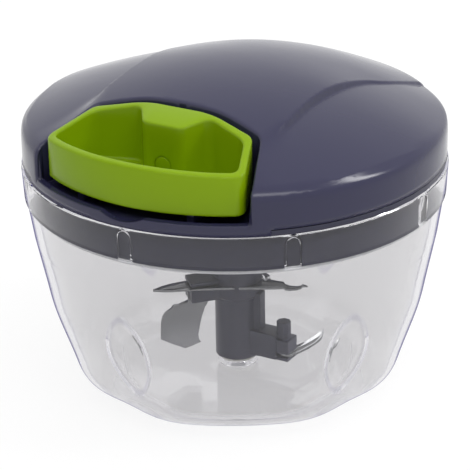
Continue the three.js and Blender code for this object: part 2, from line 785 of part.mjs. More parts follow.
const makeSpindle = () => {
  const headFoot = roofFoot + housingRoof + seatGap;
  return turned([
    [0, spindleFoot], [spindleRadius, spindleFoot], [spindleRadius, headFoot], [spindleHead, headFoot],
    [spindleHead, headFoot + spindleHeadHeight], [0, headFoot + spindleHeadHeight],
  ], pinSteps);
};

place('drum_spindle', makeSpindle(), steel);

const earTop = plateTop + seatGap + earThickness;
housingScrewPlaces.forEach(([x, y], i) => place(`housing_screw_${i + 1}`,
  makeScrew(housingScrewLength - seatGap).translate([x, y, earTop + seatGap]), steel));

// Drive coupler: a hexagon socket under the lid, screwed to the drum hub

const couplerOutside = 9.6;
const couplerTop = rimHeight - hubDrop - seatGap;
const couplerWeb = 1.9;
const couplerWebFoot = couplerTop - driveHexDepth - couplerWeb;
const socketDepth = 9;
const socketRadius = 6.9;
const couplerScrewHead = 4.4;
const couplerScrewHeadHeight = 1.8;

const makeCoupler = () => {
  const foot = couplerWebFoot - socketDepth;
  return without(disc(couplerOutside, foot, couplerTop, smallSteps), [
    prism(hexagon(driveHexRadius + seatGap), couplerTop - driveHexDepth - seatGap / 2,
      couplerTop + overrun),
    prism(hexagon(socketRadius), foot - overrun, couplerWebFoot),
    disc(couplerScrewRadius + runGap, couplerWebFoot - overrun, couplerTop, pinSteps),
  ]);
};

place('drive_coupler', makeCoupler(), darkPlastic);

const makeCouplerScrew = () => {
  const headTop = couplerWebFoot - seatGap;
  return turned([
    [0, headTop - couplerScrewHeadHeight], [couplerScrewHead, headTop - couplerScrewHeadHeight],
    [couplerScrewHead, headTop], [couplerScrewRadius, headTop],
    [couplerScrewRadius, spindleFoot - hubDrop / 2], [0, spindleFoot - hubDrop / 2],
  ], pinSteps);
};

place('coupler_screw', makeCouplerScrew(), steel);

// Cord guide: an eyelet in the back wall of the recess

const guideBore = 2.2;
const guideFlange = 4.6;
const guideFlangeThickness = 0.8;

const makeGuide = () => {
  const face = recess.back + seatGap;
  const end = face - recessWall - 2 * seatGap;
  const front = face + guideFlangeThickness;
  const barrel = ring([
    [guideBore, end], [guideHoleRadius - seatGap, end], [guideHoleRadius - seatGap, face],
    [guideFlange, face], [guideFlange, face + guideFlangeThickness / 2],
    [guideFlange - guideFlangeThickness / 2, front], [guideBore, front],
  ], pinSteps);
  return barrel.rotate([90, 0, 0]).translate([0, 0, cordLevel]);
};

place('cord_guide', makeGuide(), steel);

// Pull handle: an open tub with two finger hollows at the back and a boss for the cord between
// them; its top follows the lid, its front stands a little proud

const handleReachShare = 0.953; // of the rim's radius
const handleReach = handleReachShare * rimRadius;
const handleWall = 2.2;
const handleFloor = 2;
const handleFrontRise = 17.8;
const handleBackRise = 25.2;
const handleCrown = 3.3; // how much lower the top is at the sides
const handleFrontCorner = 3.6;
const handleArcSteps = 5;
const handleTopSteps = 12;
const cordBossHalf = 6.4;
const cordBossFlare = 3.2;
const cordBossDepth = 7.4;
const cordBossRound = 2.2;
const fingerRound = 6;
const cordHoleRadius = 1.5;
const knotRadius = 2.3;
const knotPocketDepth = 3.4;
const handleBack = recess.back + handleGap;
const bossFace = handleBack + handleWall + cordBossDepth;

const handleOutline = (inset, back) => {
  const { along, backY } = recessCorners(handleGap + inset);
  const reach = handleReach - inset;
  const lean = (along(recess.mouth) - along(0)) / recess.mouth;
  const side = along(0);
  const stretch = 1 + lean ** 2;
  const y = (-side * lean + Math.sqrt(reach ** 2 * stretch - side ** 2)) / stretch;
  const half = Math.atan2(along(y), y);
  const arc = Array.from({ length: handleArcSteps }, (_, i) =>
    [...polar(reach, -Math.PI / 2 + half * (i + 1 / 2) / (handleArcSteps + 1 / 2)), 0]);
  return rounded(mirrored([
    ...arc, [along(y), -y, handleFrontCorner - inset / 2], ...back(along, backY),
  ]), handleArcSteps);
};

const handleOutside = () => handleOutline(0, (along, backY) => [
  [along(backY), -backY, recessCorner - handleGap / 2],
  [recess.backHalf - handleGap / 2, -handleBack, recessBow],
]);

const handleInside = () => handleOutline(handleWall, (along, backY) => [
  [along(backY), -backY, fingerRound],
  [cordBossHalf + cordBossFlare, -handleBack - handleWall, cordBossRound],
  [cordBossHalf, -bossFace, cordBossRound],
]);

const handleTopCut = () => {
  const half = rimRadius;
  const drop = handleCrown / (recess.mouthHalf - 3 * handleGap) ** 2;
  const arc = Array.from({ length: handleTopSteps + 1 }, (_, i) => {
    const x = half * (2 * i / handleTopSteps - 1);
    return [x, -drop * x ** 2];
  });
  const slope = (handleBackRise - handleFrontRise) / (handleReach - handleBack);
  const level = rimHeight + handleFrontRise + slope * handleReach;
  return prism([...arc, [half, domeRise], [-half, domeRise]], 0, rimRadius + overrun)
    .rotate([90, 0, 0]).transform([1, 0, 0, 0, 0, 1, slope, 0, 0, 0, 1, 0, 0, 0, level, 1]);
};

const makeHandle = () => {
  const foot = rimHeight + handleFootRise;
  const body = prism(handleOutside(), foot, rimHeight + domeRise);
  const cavity = prism(handleInside(), foot + handleFloor, rimHeight + domeRise + overrun);
  return without(body, [
    cavity, handleTopCut(),
    barTowardsFront(cordHoleRadius, handleBack - overrun, bossFace + overrun, cordLevel),
    barTowardsFront(knotRadius + runGap, bossFace - knotPocketDepth, bossFace + overrun / 2, cordLevel),
  ]);
};

place('pull_handle', makeHandle(), limePlastic);

// Knot in the pocket of the boss: three lobes of cord round each other

const knotLobes = 3;
const knotLobeShare = 0.75; // of the cord's diameter
const knotSides = 6;
const knotSteps = 12;

const makeKnot = () => {
  const middle = bossFace - knotPocketDepth + seatGap + knotRadius;
  const lobe = cordDiameter * knotLobeShare;
  const core = knotRadius - lobe / 2;
  const ball = solidOf(new THREE.SphereGeometry(core, knotSteps, knotSides));
  const loop = solidOf(new THREE.TorusGeometry(core, lobe / 2, knotSides, knotSteps));
  const lobes = around(knotLobes, (angle) =>
    loop.rotate([90, 0, THREE.MathUtils.radToDeg(angle) / 2]));
  return joined([ball, ...lobes]).translate([0, -middle, cordLevel]);
};

place('cord_knot', makeKnot(), cordFibre);

// Pull cord: from the drum, round the bend, through the guide and into the handle's boss

const cordSteps = 14;
const cordSides = 8;

const makePullCord = () => {
  const ahead = new THREE.Vector2(0, -1);
  const cut = bendRadius * Math.tan(cordRuns.angleTo(ahead) / 2);
  const start = cordLeaves.clone().addScaledVector(cordRuns, cordDiameter + seatGap);
  const bendStart = cordBend.clone().addScaledVector(cordRuns, -cut);
  const path = new THREE.CurvePath();
  const at = (x, y) => new THREE.Vector3(x, y, cordLevel);
  path.add(new THREE.LineCurve3(at(start.x, start.y), at(bendStart.x, bendStart.y)));
  path.add(new THREE.QuadraticBezierCurve3(at(bendStart.x, bendStart.y), at(cordBend.x, cordBend.y),
    at(cordBend.x, cordBend.y - cut)));
  path.add(new THREE.LineCurve3(at(cordBend.x, cordBend.y - cut),
    at(cordBend.x, -(bossFace - knotPocketDepth))));
  return tube(path, cordDiameter / 2, cordSteps, cordSides);
};

place('pull_cord', makePullCord(), cordFibre);

// Blade shaft: a column with a hexagon head, an upper arm, and a lower arm with an upright
// post and a web up the column; each arm grips its blades in slots

const columnFoot = 7;
const columnTop = couplerWebFoot - socketDepth - runGap;
const columnRadius = 7.8;
const columnWaist = 6.9;
const shoulderFoot = 27;
const headRadius = socketRadius - runGap;
const headTop = couplerWebFoot - couplerScrewHeadHeight - 2 * runGap;
const bushBore = pinRadius + runGap;
const shaftBushWall = 1.1;
const shaftBoreRadius = bushBore + shaftBushWall + seatGap;
const bushTop = 32.7;
const bladeThickness = 0.8;
const slotHeight = bladeThickness + 2 * seatGap;
const upperBladeLevel = 31.9;
const lowerBladeLevel = 10.4;
const halfTurnShare = 1.1; // of half a turn, from the lower arm's side to the upper arm
const upperArm = {
  turn: armTurn + Math.PI * halfTurnShare, reach: 15.6, half: 3.6, foot: 27.3, top: 33.8,
};
const lowerArm = { turn: 0, reach: 15.4, half: 3.2, foot: 8.6, top: 16.8 };
const web = { reach: 9, half: 1.6 };
const postOut = 1; // the post's axis beyond the end of the lower arm
const postPlace = lowerArm.reach + postOut;
const postRadius = 2.2;
const postSides = 8;
const postHalf = 2.9;
const postTop = 21;
const middleBladeInside = 8.6;
const middleBladeGrip = 2.2;

const makeColumn = () => turned([
  [0, columnFoot], [columnWaist, columnFoot], [columnWaist, shoulderFoot],
  [columnRadius, shoulderFoot + columnRadius - columnWaist], [columnRadius, columnTop], [0, columnTop],
], smallSteps);

const makeUpperArm = () => {
  const end = upperArm.reach + overrun;
  const arm = block(0, upperArm.reach, -upperArm.half, upperArm.half, upperArm.foot, upperArm.top);
  const flatSlot = block(0, end, -columnRadius, columnRadius,
    upperBladeLevel - slotHeight / 2, upperBladeLevel + slotHeight / 2)
    .subtract(disc(columnRadius, shoulderFoot, columnTop, smallSteps));
  const uprightSlot = block(middleBladeInside - seatGap, end, -slotHeight / 2, slotHeight / 2,
    upperArm.foot - overrun, upperArm.foot + middleBladeGrip + seatGap);
  return turnedBy(without(arm, [flatSlot, uprightSlot]), upperArm.turn);
};

const makeLowerArm = () => {
  const arm = block(0, lowerArm.reach, -lowerArm.half, lowerArm.half, lowerArm.foot, lowerArm.top);
  const rib = block(0, web.reach, -web.half, web.half, lowerArm.top - overrun, shoulderFoot + overrun);
  const section = around(postSides, (angle) => polar(postRadius, angle), Math.PI / postSides);
  const post = prism(section, lowerArm.foot, postTop).translate([postPlace, 0, 0]);
  const foot = block(lowerArm.reach - overrun, postPlace + postHalf, -postHalf, postHalf,
    lowerArm.foot, lowerArm.top - postRadius / 2);
  const slot = block(lowerArm.reach - seatGap, postPlace + 2 * postHalf, -columnRadius, columnRadius,
    lowerBladeLevel - slotHeight / 2, lowerBladeLevel + slotHeight / 2);
  return turnedBy(without(joined([arm, rib, post, foot]), [slot]), lowerArm.turn);
};

const makeShaft = () => {
  const head = prism(hexagon(headRadius), columnTop - columnWaist, headTop);
  const bore = disc(shaftBoreRadius, columnFoot - overrun, bushTop + seatGap, pinSteps);
  return without(joined([makeColumn(), head, makeUpperArm(), makeLowerArm()]), [bore]);
};

place('blade_shaft', makeShaft(), darkPlastic);

const makeShaftBush = () => {
  const foot = baseThickness + bossRise + seatGap;
  const collarTop = columnFoot - seatGap;
  const outside = bushBore + shaftBushWall;
  return turned([
    [bushBore, foot], [bossRadius - runGap, foot], [bossRadius - runGap, collarTop], [outside, collarTop],
    [outside, bushTop], [0, bushTop], [0, pinTop + runGap], [bushBore, pinTop + runGap], [bushBore, foot],
  ], pinSteps);
};

place('shaft_bush', makeShaftBush(), whiteNylon);

// Blades: flat sickles of sheet steel; outlines are shares of each blade's reach

const edgeSteps = 8;

const edgeLine = (points, across, along = across) => new THREE.SplineCurve(
  points.map(([x, y]) => new THREE.Vector2(x * across, y * along)),
).getPoints(edgeSteps).map((p) => [p.x, p.y]);

const sickle = (front, back, reach) => [...edgeLine(front, reach), ...edgeLine(back, reach).slice(1)];

const sheet = (outline, level) =>
  prism(outline, level - bladeThickness / 2, level + bladeThickness / 2);

const upperReach = 25.5;
const upperRingWidth = 2.6;
const upperRing = columnRadius + upperRingWidth;
const rightWingShares = [[-0.16, -0.45], [0.34, -0.478], [0.63, -0.455], [0.85, -0.388]];
const rightWingBackShares = [[0.85, -0.388], [0.64, -0.26], [0.46, -0.16], [0.3, 0.02]];
const leftWingShares = [[0.16, -0.45], [-0.5, -0.49], [-0.8, -0.54], [-1, -0.5]];
const leftWingBackShares = [[-1, -0.5], [-0.84, -0.28], [-0.6, -0.1], [-0.3, 0.1]];

const makeUpperBlade = () => {
  const wing = (front, back) => sheet(sickle(front, back, upperReach), upperBladeLevel);
  const hub = sheet(around(smallSteps, (angle) => polar(upperRing, angle)), upperBladeLevel);
  const hole = disc(columnRadius + seatGap, upperBladeLevel - overrun, upperBladeLevel + overrun,
    smallSteps);
  const wings = [wing(rightWingShares, rightWingBackShares), wing(leftWingShares, leftWingBackShares)];
  return turnedBy(without(joined([hub, ...wings]), [hole]), armTurn);
};

place('blade_upper', makeUpperBlade(), steel);

const middleReach = 24.8;
const middleDrop = 16;
const middleOuterShares = [[0.64, 0], [0.87, 0.12], [0.98, 0.3], [1, 0.73]];
const middleTipShares = [[1, 0.73], [0.85, 0.87], [0.69, 1], [0.49, 0.91]];
const middleInnerShares = [
  [0.49, 0.91], [0.524, 0.79], [0.5, 0.59], [0.468, 0.36], [0.4, 0.12], [0.355, 0],
];

const makeMiddleBlade = () => {
  const top = upperArm.foot - runGap;
  const grip = upperArm.foot + middleBladeGrip;
  const hung = (points) => points.map(([out, down]) => [out, top - down]);
  const curve = (shares) => hung(edgeLine(shares, middleReach, middleDrop));
  const tip = middleTipShares.map(([out, down]) => [out * middleReach, down * middleDrop]);
  const outline = [
    [middleReach * middleOuterShares[0][0], grip], ...curve(middleOuterShares),
    ...hung(tip).slice(1), ...curve(middleInnerShares).slice(1),
    [middleReach * middleInnerShares.at(-1)[0], grip],
  ];
  const plate = prism(outline, -bladeThickness / 2, bladeThickness / 2).rotate([90, 0, 0]);
  return turnedBy(plate, upperArm.turn);
};

place('blade_middle', makeMiddleBlade(), steel);

const lowerFrontShares = [[0.8, -0.09], [0.9, 0.12], [0.98, 0.4], [1, 0.64], [0.93, 0.88]];
const lowerBackShares = [[0.93, 0.88], [0.87, 0.6], [0.79, 0.34], [0.69, 0.16], [0.66, 0.09]];
const lowerBladeIn = 1.2; // the blade's inner edge beyond the end of the lower arm
const lowerReach = (lowerArm.reach + lowerBladeIn) / lowerBackShares.at(-1)[0];

const makeLowerBlade = () => turnedBy(sheet([
  ...sickle(lowerFrontShares, lowerBackShares, lowerReach),
  [lowerReach * lowerBackShares.at(-1)[0], lowerReach * lowerFrontShares[0][1]],
], lowerBladeLevel), lowerArm.turn);

place('blade_lower', makeLowerBlade(), steel);

export default part;
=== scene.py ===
"""Hand pulled food chopper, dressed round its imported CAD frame. Metres, +Z up, handle towards -Y.

The bowl stands on z = 0 with its axis on x = y = 0. The sections follow the order in which the
chopper is put together: camera, studio, bowl, pin, blade unit, lid base, seal, drum, spring,
cover, cord guide, handle and cord. Shapes are worked out in millimetres; piece() makes them metres.
"""

import math

import bmesh
import bpy
from mathutils import Matrix, Quaternion, Vector
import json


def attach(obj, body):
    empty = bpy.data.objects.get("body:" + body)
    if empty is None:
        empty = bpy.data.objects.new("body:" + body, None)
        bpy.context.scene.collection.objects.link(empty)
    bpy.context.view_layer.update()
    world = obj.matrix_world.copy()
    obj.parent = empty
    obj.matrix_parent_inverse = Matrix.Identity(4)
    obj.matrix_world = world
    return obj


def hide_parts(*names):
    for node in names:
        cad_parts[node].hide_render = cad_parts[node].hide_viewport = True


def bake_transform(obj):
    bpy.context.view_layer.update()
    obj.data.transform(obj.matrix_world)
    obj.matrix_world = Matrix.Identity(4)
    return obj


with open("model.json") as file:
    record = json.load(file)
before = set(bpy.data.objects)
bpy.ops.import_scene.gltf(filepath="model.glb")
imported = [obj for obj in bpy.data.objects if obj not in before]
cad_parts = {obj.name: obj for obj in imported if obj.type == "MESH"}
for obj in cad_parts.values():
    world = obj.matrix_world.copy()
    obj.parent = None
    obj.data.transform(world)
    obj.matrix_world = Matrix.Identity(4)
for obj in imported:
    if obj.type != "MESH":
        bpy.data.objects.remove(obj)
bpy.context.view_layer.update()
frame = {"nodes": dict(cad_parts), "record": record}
nodes = frame["nodes"]
MM = 0.001

# Camera: a long lens from the front right, a little above the lid, level but for a trace of roll.
# It aims at the axis below the rim, so the whole chopper stands in a square picture.
CAMERA_PLACE = Vector((298.87, -511.45, 309.67)) * MM
CAMERA_AIM = Vector((-0.3, -0.18, 45.95)) * MM
CAMERA_ROLL = math.radians(-0.944)
LENS = 162.56
SENSOR = 36.0
NEAREST = 0.01

camera_data = bpy.data.cameras.new("camera")
camera_data.lens = LENS
camera_data.sensor_width = SENSOR
camera_data.clip_start = NEAREST
camera = bpy.data.objects.new("camera", camera_data)
camera.location = CAMERA_PLACE
camera.rotation_mode = "QUATERNION"
camera.rotation_quaternion = (
    (CAMERA_AIM - CAMERA_PLACE).to_track_quat("-Z", "Y") @ Quaternion((0, 0, 1), CAMERA_ROLL)
)
bpy.context.collection.objects.link(camera)
bpy.context.scene.camera = camera
bpy.context.scene.view_settings.view_transform = "Standard"


# Studio: a white floor, a white room, a large soft box overhead, a long narrow one over the camera
# and one at the right. The shader tools that every finish uses start here.
class Amount:
    """A number that varies over a surface; arithmetic on it adds Math nodes."""

    def __init__(self, nodes, socket):
        self.nodes = nodes
        self.socket = socket

    def math(self, operation, first, second=0.0):
        return self.nodes.node("ShaderNodeMath", {"operation": operation}, {0: first, 1: second})

    def __add__(self, other):
        return self.math("ADD", self, other)

    def __radd__(self, other):
        return self.math("ADD", other, self)

    def __sub__(self, other):
        return self.math("SUBTRACT", self, other)

    def __rsub__(self, other):
        return self.math("SUBTRACT", other, self)

    def __mul__(self, other):
        return self.math("MULTIPLY", self, other)

    def __rmul__(self, other):
        return self.math("MULTIPLY", other, self)

    def __pow__(self, other):
        return self.math("POWER", self, other)

    def sine(self):
        return self.math("SINE", self)

    def size(self):
        return self.math("ABSOLUTE", self)

    def over(self, other):
        return self.math("MAXIMUM", self, other)


class Nodes:
    """A node tree; node() makes any node, from its settings first and then its sockets."""

    def __init__(self, tree):
        self.tree = tree

    def fill(self, socket, value):
        if isinstance(value, Amount):
            self.tree.links.new(value.socket, socket)
        elif isinstance(value, tuple) and len(value) == 3 and socket.type == "RGBA":
            socket.default_value = (*value, 1.0)
        else:
            socket.default_value = value

    def node(self, kind, settings=None, sockets=None, output=0):
        made = self.tree.nodes.new(kind)
        for key, value in (settings or {}).items():
            setattr(made, key, value)
        for key, value in (sockets or {}).items():
            self.fill(made.inputs[key], value)
        return Amount(self, made.outputs[output])

    def ray(self, kind):
        return self.node("ShaderNodeLightPath", output=f"Is {kind} Ray")

    def seen(self):
        """1 where the eye, a mirror or clear plastic looks."""
        return self.ray("Camera").over(self.ray("Glossy")).over(self.ray("Transmission"))

    def spread(self, value, from_low, from_high, to_low, to_high):
        return self.node(
            "ShaderNodeMapRange",
            sockets={"Value": value, 1: from_low, 2: from_high, 3: to_low, 4: to_high},
        )

    def between(self, mask, low, high):
        return self.node(
            "ShaderNodeMix", {"data_type": "RGBA"}, {"Factor": mask, 6: low, 7: high}, output=2
        )


class Finish(Nodes):
    """A material on one shader, with the patterns that mouldings and metal share."""

    def __init__(self, name, **constants):
        self.material = bpy.data.materials.new(name)
        self.material.use_nodes = True
        super().__init__(self.material.node_tree)
        self.shader = self.tree.nodes["Principled BSDF"]
        self.out = self.tree.nodes["Material Output"]
        self.set(**constants)

    def set(self, **values):
        for label, value in values.items():
            self.fill(self.shader.inputs[label.replace("_", " ")], value)

    def noise(self, scale, detail=3.0, stretch=(1.0, 1.0, 1.0)):
        spot = self.node("ShaderNodeTexCoord", output="Object")
        spot = self.node("ShaderNodeMapping", sockets={"Vector": spot, "Scale": stretch})
        return self.node("ShaderNodeTexNoise", sockets={"Vector": spot, "Scale": scale, "Detail": detail})

    def uneven(self, pattern, smooth, rough, reach=0.2):
        """Roughness that wanders with a pattern, which mostly stays within reach of a half."""
        self.set(Roughness=self.spread(pattern, 0.5 - reach, 0.5 + reach, smooth, rough))

    def rounded_edges(self, radius):
        """A normal that rolls over the sharp edges of a solid."""
        return self.node("ShaderNodeBevel", {"samples": 4}, {"Radius": radius})

    def bump(self, height, depth, normal=None):
        sockets = {"Height": height, "Strength": 1.0, "Distance": depth}
        if normal:
            sockets["Normal"] = normal
        return self.node("ShaderNodeBump", sockets=sockets)


FLOOR_HALF = 2.5
FLOOR_DROP = 0.0003  # the floor lies a hair under the foot
WHITE = (0.9, 0.9, 0.9)
ROOM_LIGHT = 0.3  # what the room sheds on the chopper; it looks white to eye, mirror and glass
FLOOR_GLOW = 0.85  # share of the floor's own white that eye, mirror and glass see

floor_bm = bmesh.new()
bmesh.ops.create_grid(floor_bm, x_segments=1, y_segments=1, size=FLOOR_HALF)
floor_mesh = bpy.data.meshes.new("floor")
floor_bm.to_mesh(floor_mesh)
floor_bm.free()
floor = bpy.data.objects.new("floor", floor_mesh)
floor.location.z = -FLOOR_DROP
bpy.context.collection.objects.link(floor)
floor_finish = Finish("floor_white", Base_Color=WHITE, Roughness=0.9, Specular_IOR_Level=0.1)
glow = floor_finish.node("ShaderNodeEmission", sockets={"Color": (1.0, 1.0, 1.0), "Strength": 1.0})
lit = Amount(floor_finish, floor_finish.shader.outputs[0])
seen_share = floor_finish.seen() * FLOOR_GLOW
mixed = floor_finish.node("ShaderNodeMixShader", sockets={0: seen_share, 1: lit, 2: glow})
floor_finish.fill(floor_finish.out.inputs["Surface"], mixed)
floor_mesh.materials.append(floor_finish.material)

world = bpy.data.worlds.new("studio")
world.use_nodes = True
bpy.context.scene.world = world
room = Nodes(world.node_tree)
background = room.tree.nodes["Background"]
room.fill(background.inputs["Color"], (1.0, 1.0, 1.0))
room.fill(background.inputs["Strength"], room.spread(room.seen(), 0.0, 1.0, ROOM_LIGHT, 1.0))

LAMP_AIM = Vector((0, 0, 0.06))
for name, place, width, depth, power in (
    ("overhead", (0.0, 0.3, 1.5), 3.0, 3.0, 38.0),
    ("strip", (0.33, -0.57, 0.88), 1.3, 0.32, 5.0),
    ("right", (0.78, 0.34, 0.86), 0.34, 0.34, 4.5),
):
    lamp = bpy.data.lights.new(name, "AREA")
    lamp.shape = "RECTANGLE"
    lamp.size = width
    lamp.size_y = depth
    lamp.energy = power
    holder = bpy.data.objects.new(name, lamp)
    holder.location = place
    holder.rotation_mode = "QUATERNION"
    holder.rotation_quaternion = (LAMP_AIM - Vector(place)).to_track_quat("-Z", "Y")
    holder.visible_glossy = name != "overhead"  # it would show as a patch on the polished dome
    bpy.context.collection.objects.link(holder)

# Bowl: one clear moulding of hard plastic with four lobes, a thick base, a straight rim band
# and eight lug blocks inside the rim. Its walls are polished and its foot ring is flat.
RIM_RADIUS = 64.0
RIM_HEIGHT = 73.0
BOWL_STEPS = 384
BOWL_WALL = 2.2
RIM_FOOT = 63.2
RIM_FOOT_RADIUS = 63.5
RIM_PROUD = 0.5  # how far the rim's foot stands out from the wall
RIM_INSIDE = 61.6
RIM_ROUND = 0.5
LEDGE_INSIDE = 60.8
FOOT_INSIDE = 16.0
FOOT_RING = 31.0
FOOT_RISE = 0.8
BOWL_FLOOR = 4.0
GROOVE_DEPTH = 0.7
GROOVE_IN = 6.6  # from the foot of the inner wall to the groove's inner edge
GROOVE_FLANK = 0.4
GROOVE_FLAT = 0.8
GROOVE_SLOPE = 2.9
BOSS_ROOM = 12.0
BOSS_RADIUS = 6.0
BOSS_TOP = 5.4
PIN_BORE = 2.53
PIN_FOOT = 2.1
ROUND_MIDDLE = 27.5  # the lobes start outside this radius
LOBES = 4
LOBE_TURN = math.radians(-60)
LOBE_SWELL = 3.4
FLUTE_DEPTH = 3.6
FLUTE_FADE = 28.0
FLUTE_SHARPNESS = 4
HOLLOW_LOW = 12.0
HOLLOW_HIGH = 44.0
HOLLOW_HALF = math.radians(7.5)
HOLLOW_PLACE = math.radians(34.5)
HOLLOW_DEPTH = 0.8
HOLLOW_POINT = 1.4  # over 1, this draws the ends of the almond to points
LUG_TURN = math.pi / 4
LUG_TOP = 71.6
LUG_HALF = 2.0
LUG_ROUND = 0.45
HAIR = 1e-3  # closer than this is the same place
WALL_SHARES = (
    (0.0, 0.53), (0.012, 0.57), (0.036, 0.637), (0.07, 0.717), (0.12, 0.77), (0.2, 0.808),
    (0.37, 0.879), (0.53, 0.918), (0.7, 0.957),
)


def eased(points, steps=3):
    """An open profile of (radius, z, round) corners with its corners turned into arcs."""
    line = []
    for i, (r, z, size) in enumerate(points):
        corner = Vector((r, z))
        if not size:
            line.append((r, z))
            continue
        back = Vector(points[i - 1][:2]) - corner
        ahead = Vector(points[i + 1][:2]) - corner
        cut = min(size, back.length * 0.49, ahead.length * 0.49)
        start, end = corner + back.normalized() * cut, corner + ahead.normalized() * cut
        for k in range(steps + 1):
            t = k / steps
            point = start * (1 - t) ** 2 + corner * 2 * t * (1 - t) + end * t ** 2
            line.append((point.x, point.y))
    return line


def smooth_line(points, steps=4):
    """A Catmull-Rom line through (radius, z) points."""
    line = []
    for i in range(len(points) - 1):
        p = [Vector(points[max(0, min(len(points) - 1, j))]) for j in (i - 1, i, i + 1, i + 2)]
        for k in range(steps):
            t = k / steps
            line.append(tuple(0.5 * (
                2 * p[1] + (p[2] - p[0]) * t + (2 * p[0] - 5 * p[1] + 4 * p[2] - p[3]) * t ** 2
                + (3 * p[1] - p[0] - 3 * p[2] + p[3]) * t ** 3
            )))
    return [*line, tuple(points[-1])]


def spun(bm, profile, steps):
    """Turns a profile of (radius, z) once round the axis and merges the seam."""
    verts = [bm.verts.new((r, 0, z)) for r, z in profile]
    edges = [bm.edges.new(pair) for pair in zip(verts, verts[1:])]
    bmesh.ops.spin(
        bm, geom=verts + edges, cent=(0, 0, 0), axis=(0, 0, 1), angle=2 * math.pi, steps=steps,
        use_merge=True,
    )
    bmesh.ops.remove_doubles(bm, verts=bm.verts, dist=HAIR)


def softened(bm, edges, size, steps=3, clamp=True):
    """Rounds edges off."""
    bmesh.ops.bevel(
        bm, geom=edges, offset=size, offset_type="OFFSET", segments=steps, profile=0.5,
        affect="EDGES", material=-1, clamp_overlap=clamp,
    )


def piece(name, bm, finish, body, replaced=(), sharp=math.radians(35)):
    """Makes a finished piece of a bmesh in millimetres: outward faces, smooth but for sharp edges."""
    bmesh.ops.scale(bm, vec=(MM, MM, MM), verts=bm.verts)
    bmesh.ops.recalc_face_normals(bm, faces=bm.faces)
    for face in bm.faces:
        face.smooth = True
    for edge in bm.edges:
        edge.smooth = len(edge.link_faces) != 2 or edge.calc_face_angle(0) < sharp
    mesh = bpy.data.meshes.new(name)
    bm.to_mesh(mesh)
    bm.free()
    mesh.materials.append(finish.material)
    made = bpy.data.objects.new(name, mesh)
    bpy.context.collection.objects.link(made)
    if body:
        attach(made, body)
    if replaced:
        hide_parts(*replaced)
    return made


def smoothstep(t):
    t = max(0.0, min(1.0, t))
    return t * t * (3 - 2 * t)


def flute(angle, z):
    """How far the wall is drawn in between the lobes, less what it swells at their flanks."""
    fade = smoothstep(1 - z / FLUTE_FADE)
    between = (1 - math.cos(LOBES * (angle - LOBE_TURN))) / 2
    return fade * (FLUTE_DEPTH * between ** FLUTE_SHARPNESS - LOBE_SWELL * between)


def thumb_hollow(angle, z):
    """Depth, as a share, of the almond on each flank of the front lobe and of the one behind."""
    from_lobe = abs((angle - LOBE_TURN + math.pi / 2) % math.pi - math.pi / 2)
    aside = (from_lobe - HOLLOW_PLACE) / HOLLOW_HALF
    up = (z - HOLLOW_LOW) / (HOLLOW_HIGH - HOLLOW_LOW)
    if not 0 < up < 1:
        return 0.0
    return max(0.0, math.sin(math.pi * up) ** HOLLOW_POINT - aside ** 2)


def at_height(line, z):
    """The radius of a profile at a height."""
    for (r0, z0), (r1, z1) in zip(line, line[1:]):
        if z0 <= z <= z1:
            return r0 + (r1 - r0) * (z - z0) / (z1 - z0)
    return line[-1][0]


wall = smooth_line([(RIM_RADIUS * out, RIM_HEIGHT * up) for up, out in WALL_SHARES], 7)
inner_wall = [(r - BOWL_WALL, z) for r, z in wall if z > BOWL_FLOOR + 1.5][::-1]
groove = inner_wall[-1][0] - GROOVE_IN
groove_in = groove + GROOVE_FLANK
groove_out = groove_in + GROOVE_FLAT
groove_floor = BOWL_FLOOR - GROOVE_DEPTH
bowl_profile = eased([
    (0, FOOT_RISE, 0), (FOOT_INSIDE, FOOT_RISE, 8), (FOOT_RING, 0, 4), *((r, z, 0) for r, z in wall),
    (RIM_FOOT_RADIUS - RIM_PROUD, RIM_FOOT, 0), (RIM_FOOT_RADIUS, RIM_FOOT, 0.2),
    (RIM_RADIUS, RIM_HEIGHT, RIM_ROUND), (RIM_INSIDE, RIM_HEIGHT, RIM_ROUND), (RIM_INSIDE, LUG_TOP, 0),
    (RIM_INSIDE, RIM_FOOT + RIM_ROUND, 0), (LEDGE_INSIDE, RIM_FOOT, 0), *((r, z, 0) for r, z in inner_wall),
    (groove_out + GROOVE_SLOPE, BOWL_FLOOR, 0.6), (groove_out, groove_floor, 0.4),
    (groove_in, groove_floor, 0.2), (groove, BOWL_FLOOR, 0.2), (BOSS_ROOM, BOWL_FLOOR, 0),
    (BOSS_RADIUS, BOWL_FLOOR, 0.4), (BOSS_RADIUS, BOSS_TOP, 0.5), (PIN_BORE, BOSS_TOP, 0.2),
    (PIN_BORE, PIN_FOOT, 0), (0, PIN_FOOT, 0),
])
bowl_bm = bmesh.new()
spun(bowl_bm, bowl_profile, BOWL_STEPS)
for vert in bowl_bm.verts:
    x, y, z = vert.co
    radius = math.hypot(x, y)
    if radius > ROUND_MIDDLE:
        angle = math.atan2(y, x)
        moved = radius - flute(angle, z)
        if HOLLOW_LOW < z < HOLLOW_HIGH and radius > at_height(wall, z) - BOWL_WALL / 2:
            moved -= HOLLOW_DEPTH * thumb_hollow(angle, z)
        vert.co.xy *= moved / radius


def from_lug(place):
    """How far a place on the rim's inner face lies from the middle of the nearest lug."""
    turn = (math.atan2(place.y, place.x) + math.pi / 2) % LUG_TURN
    return min(turn, LUG_TURN - turn) * RIM_INSIDE


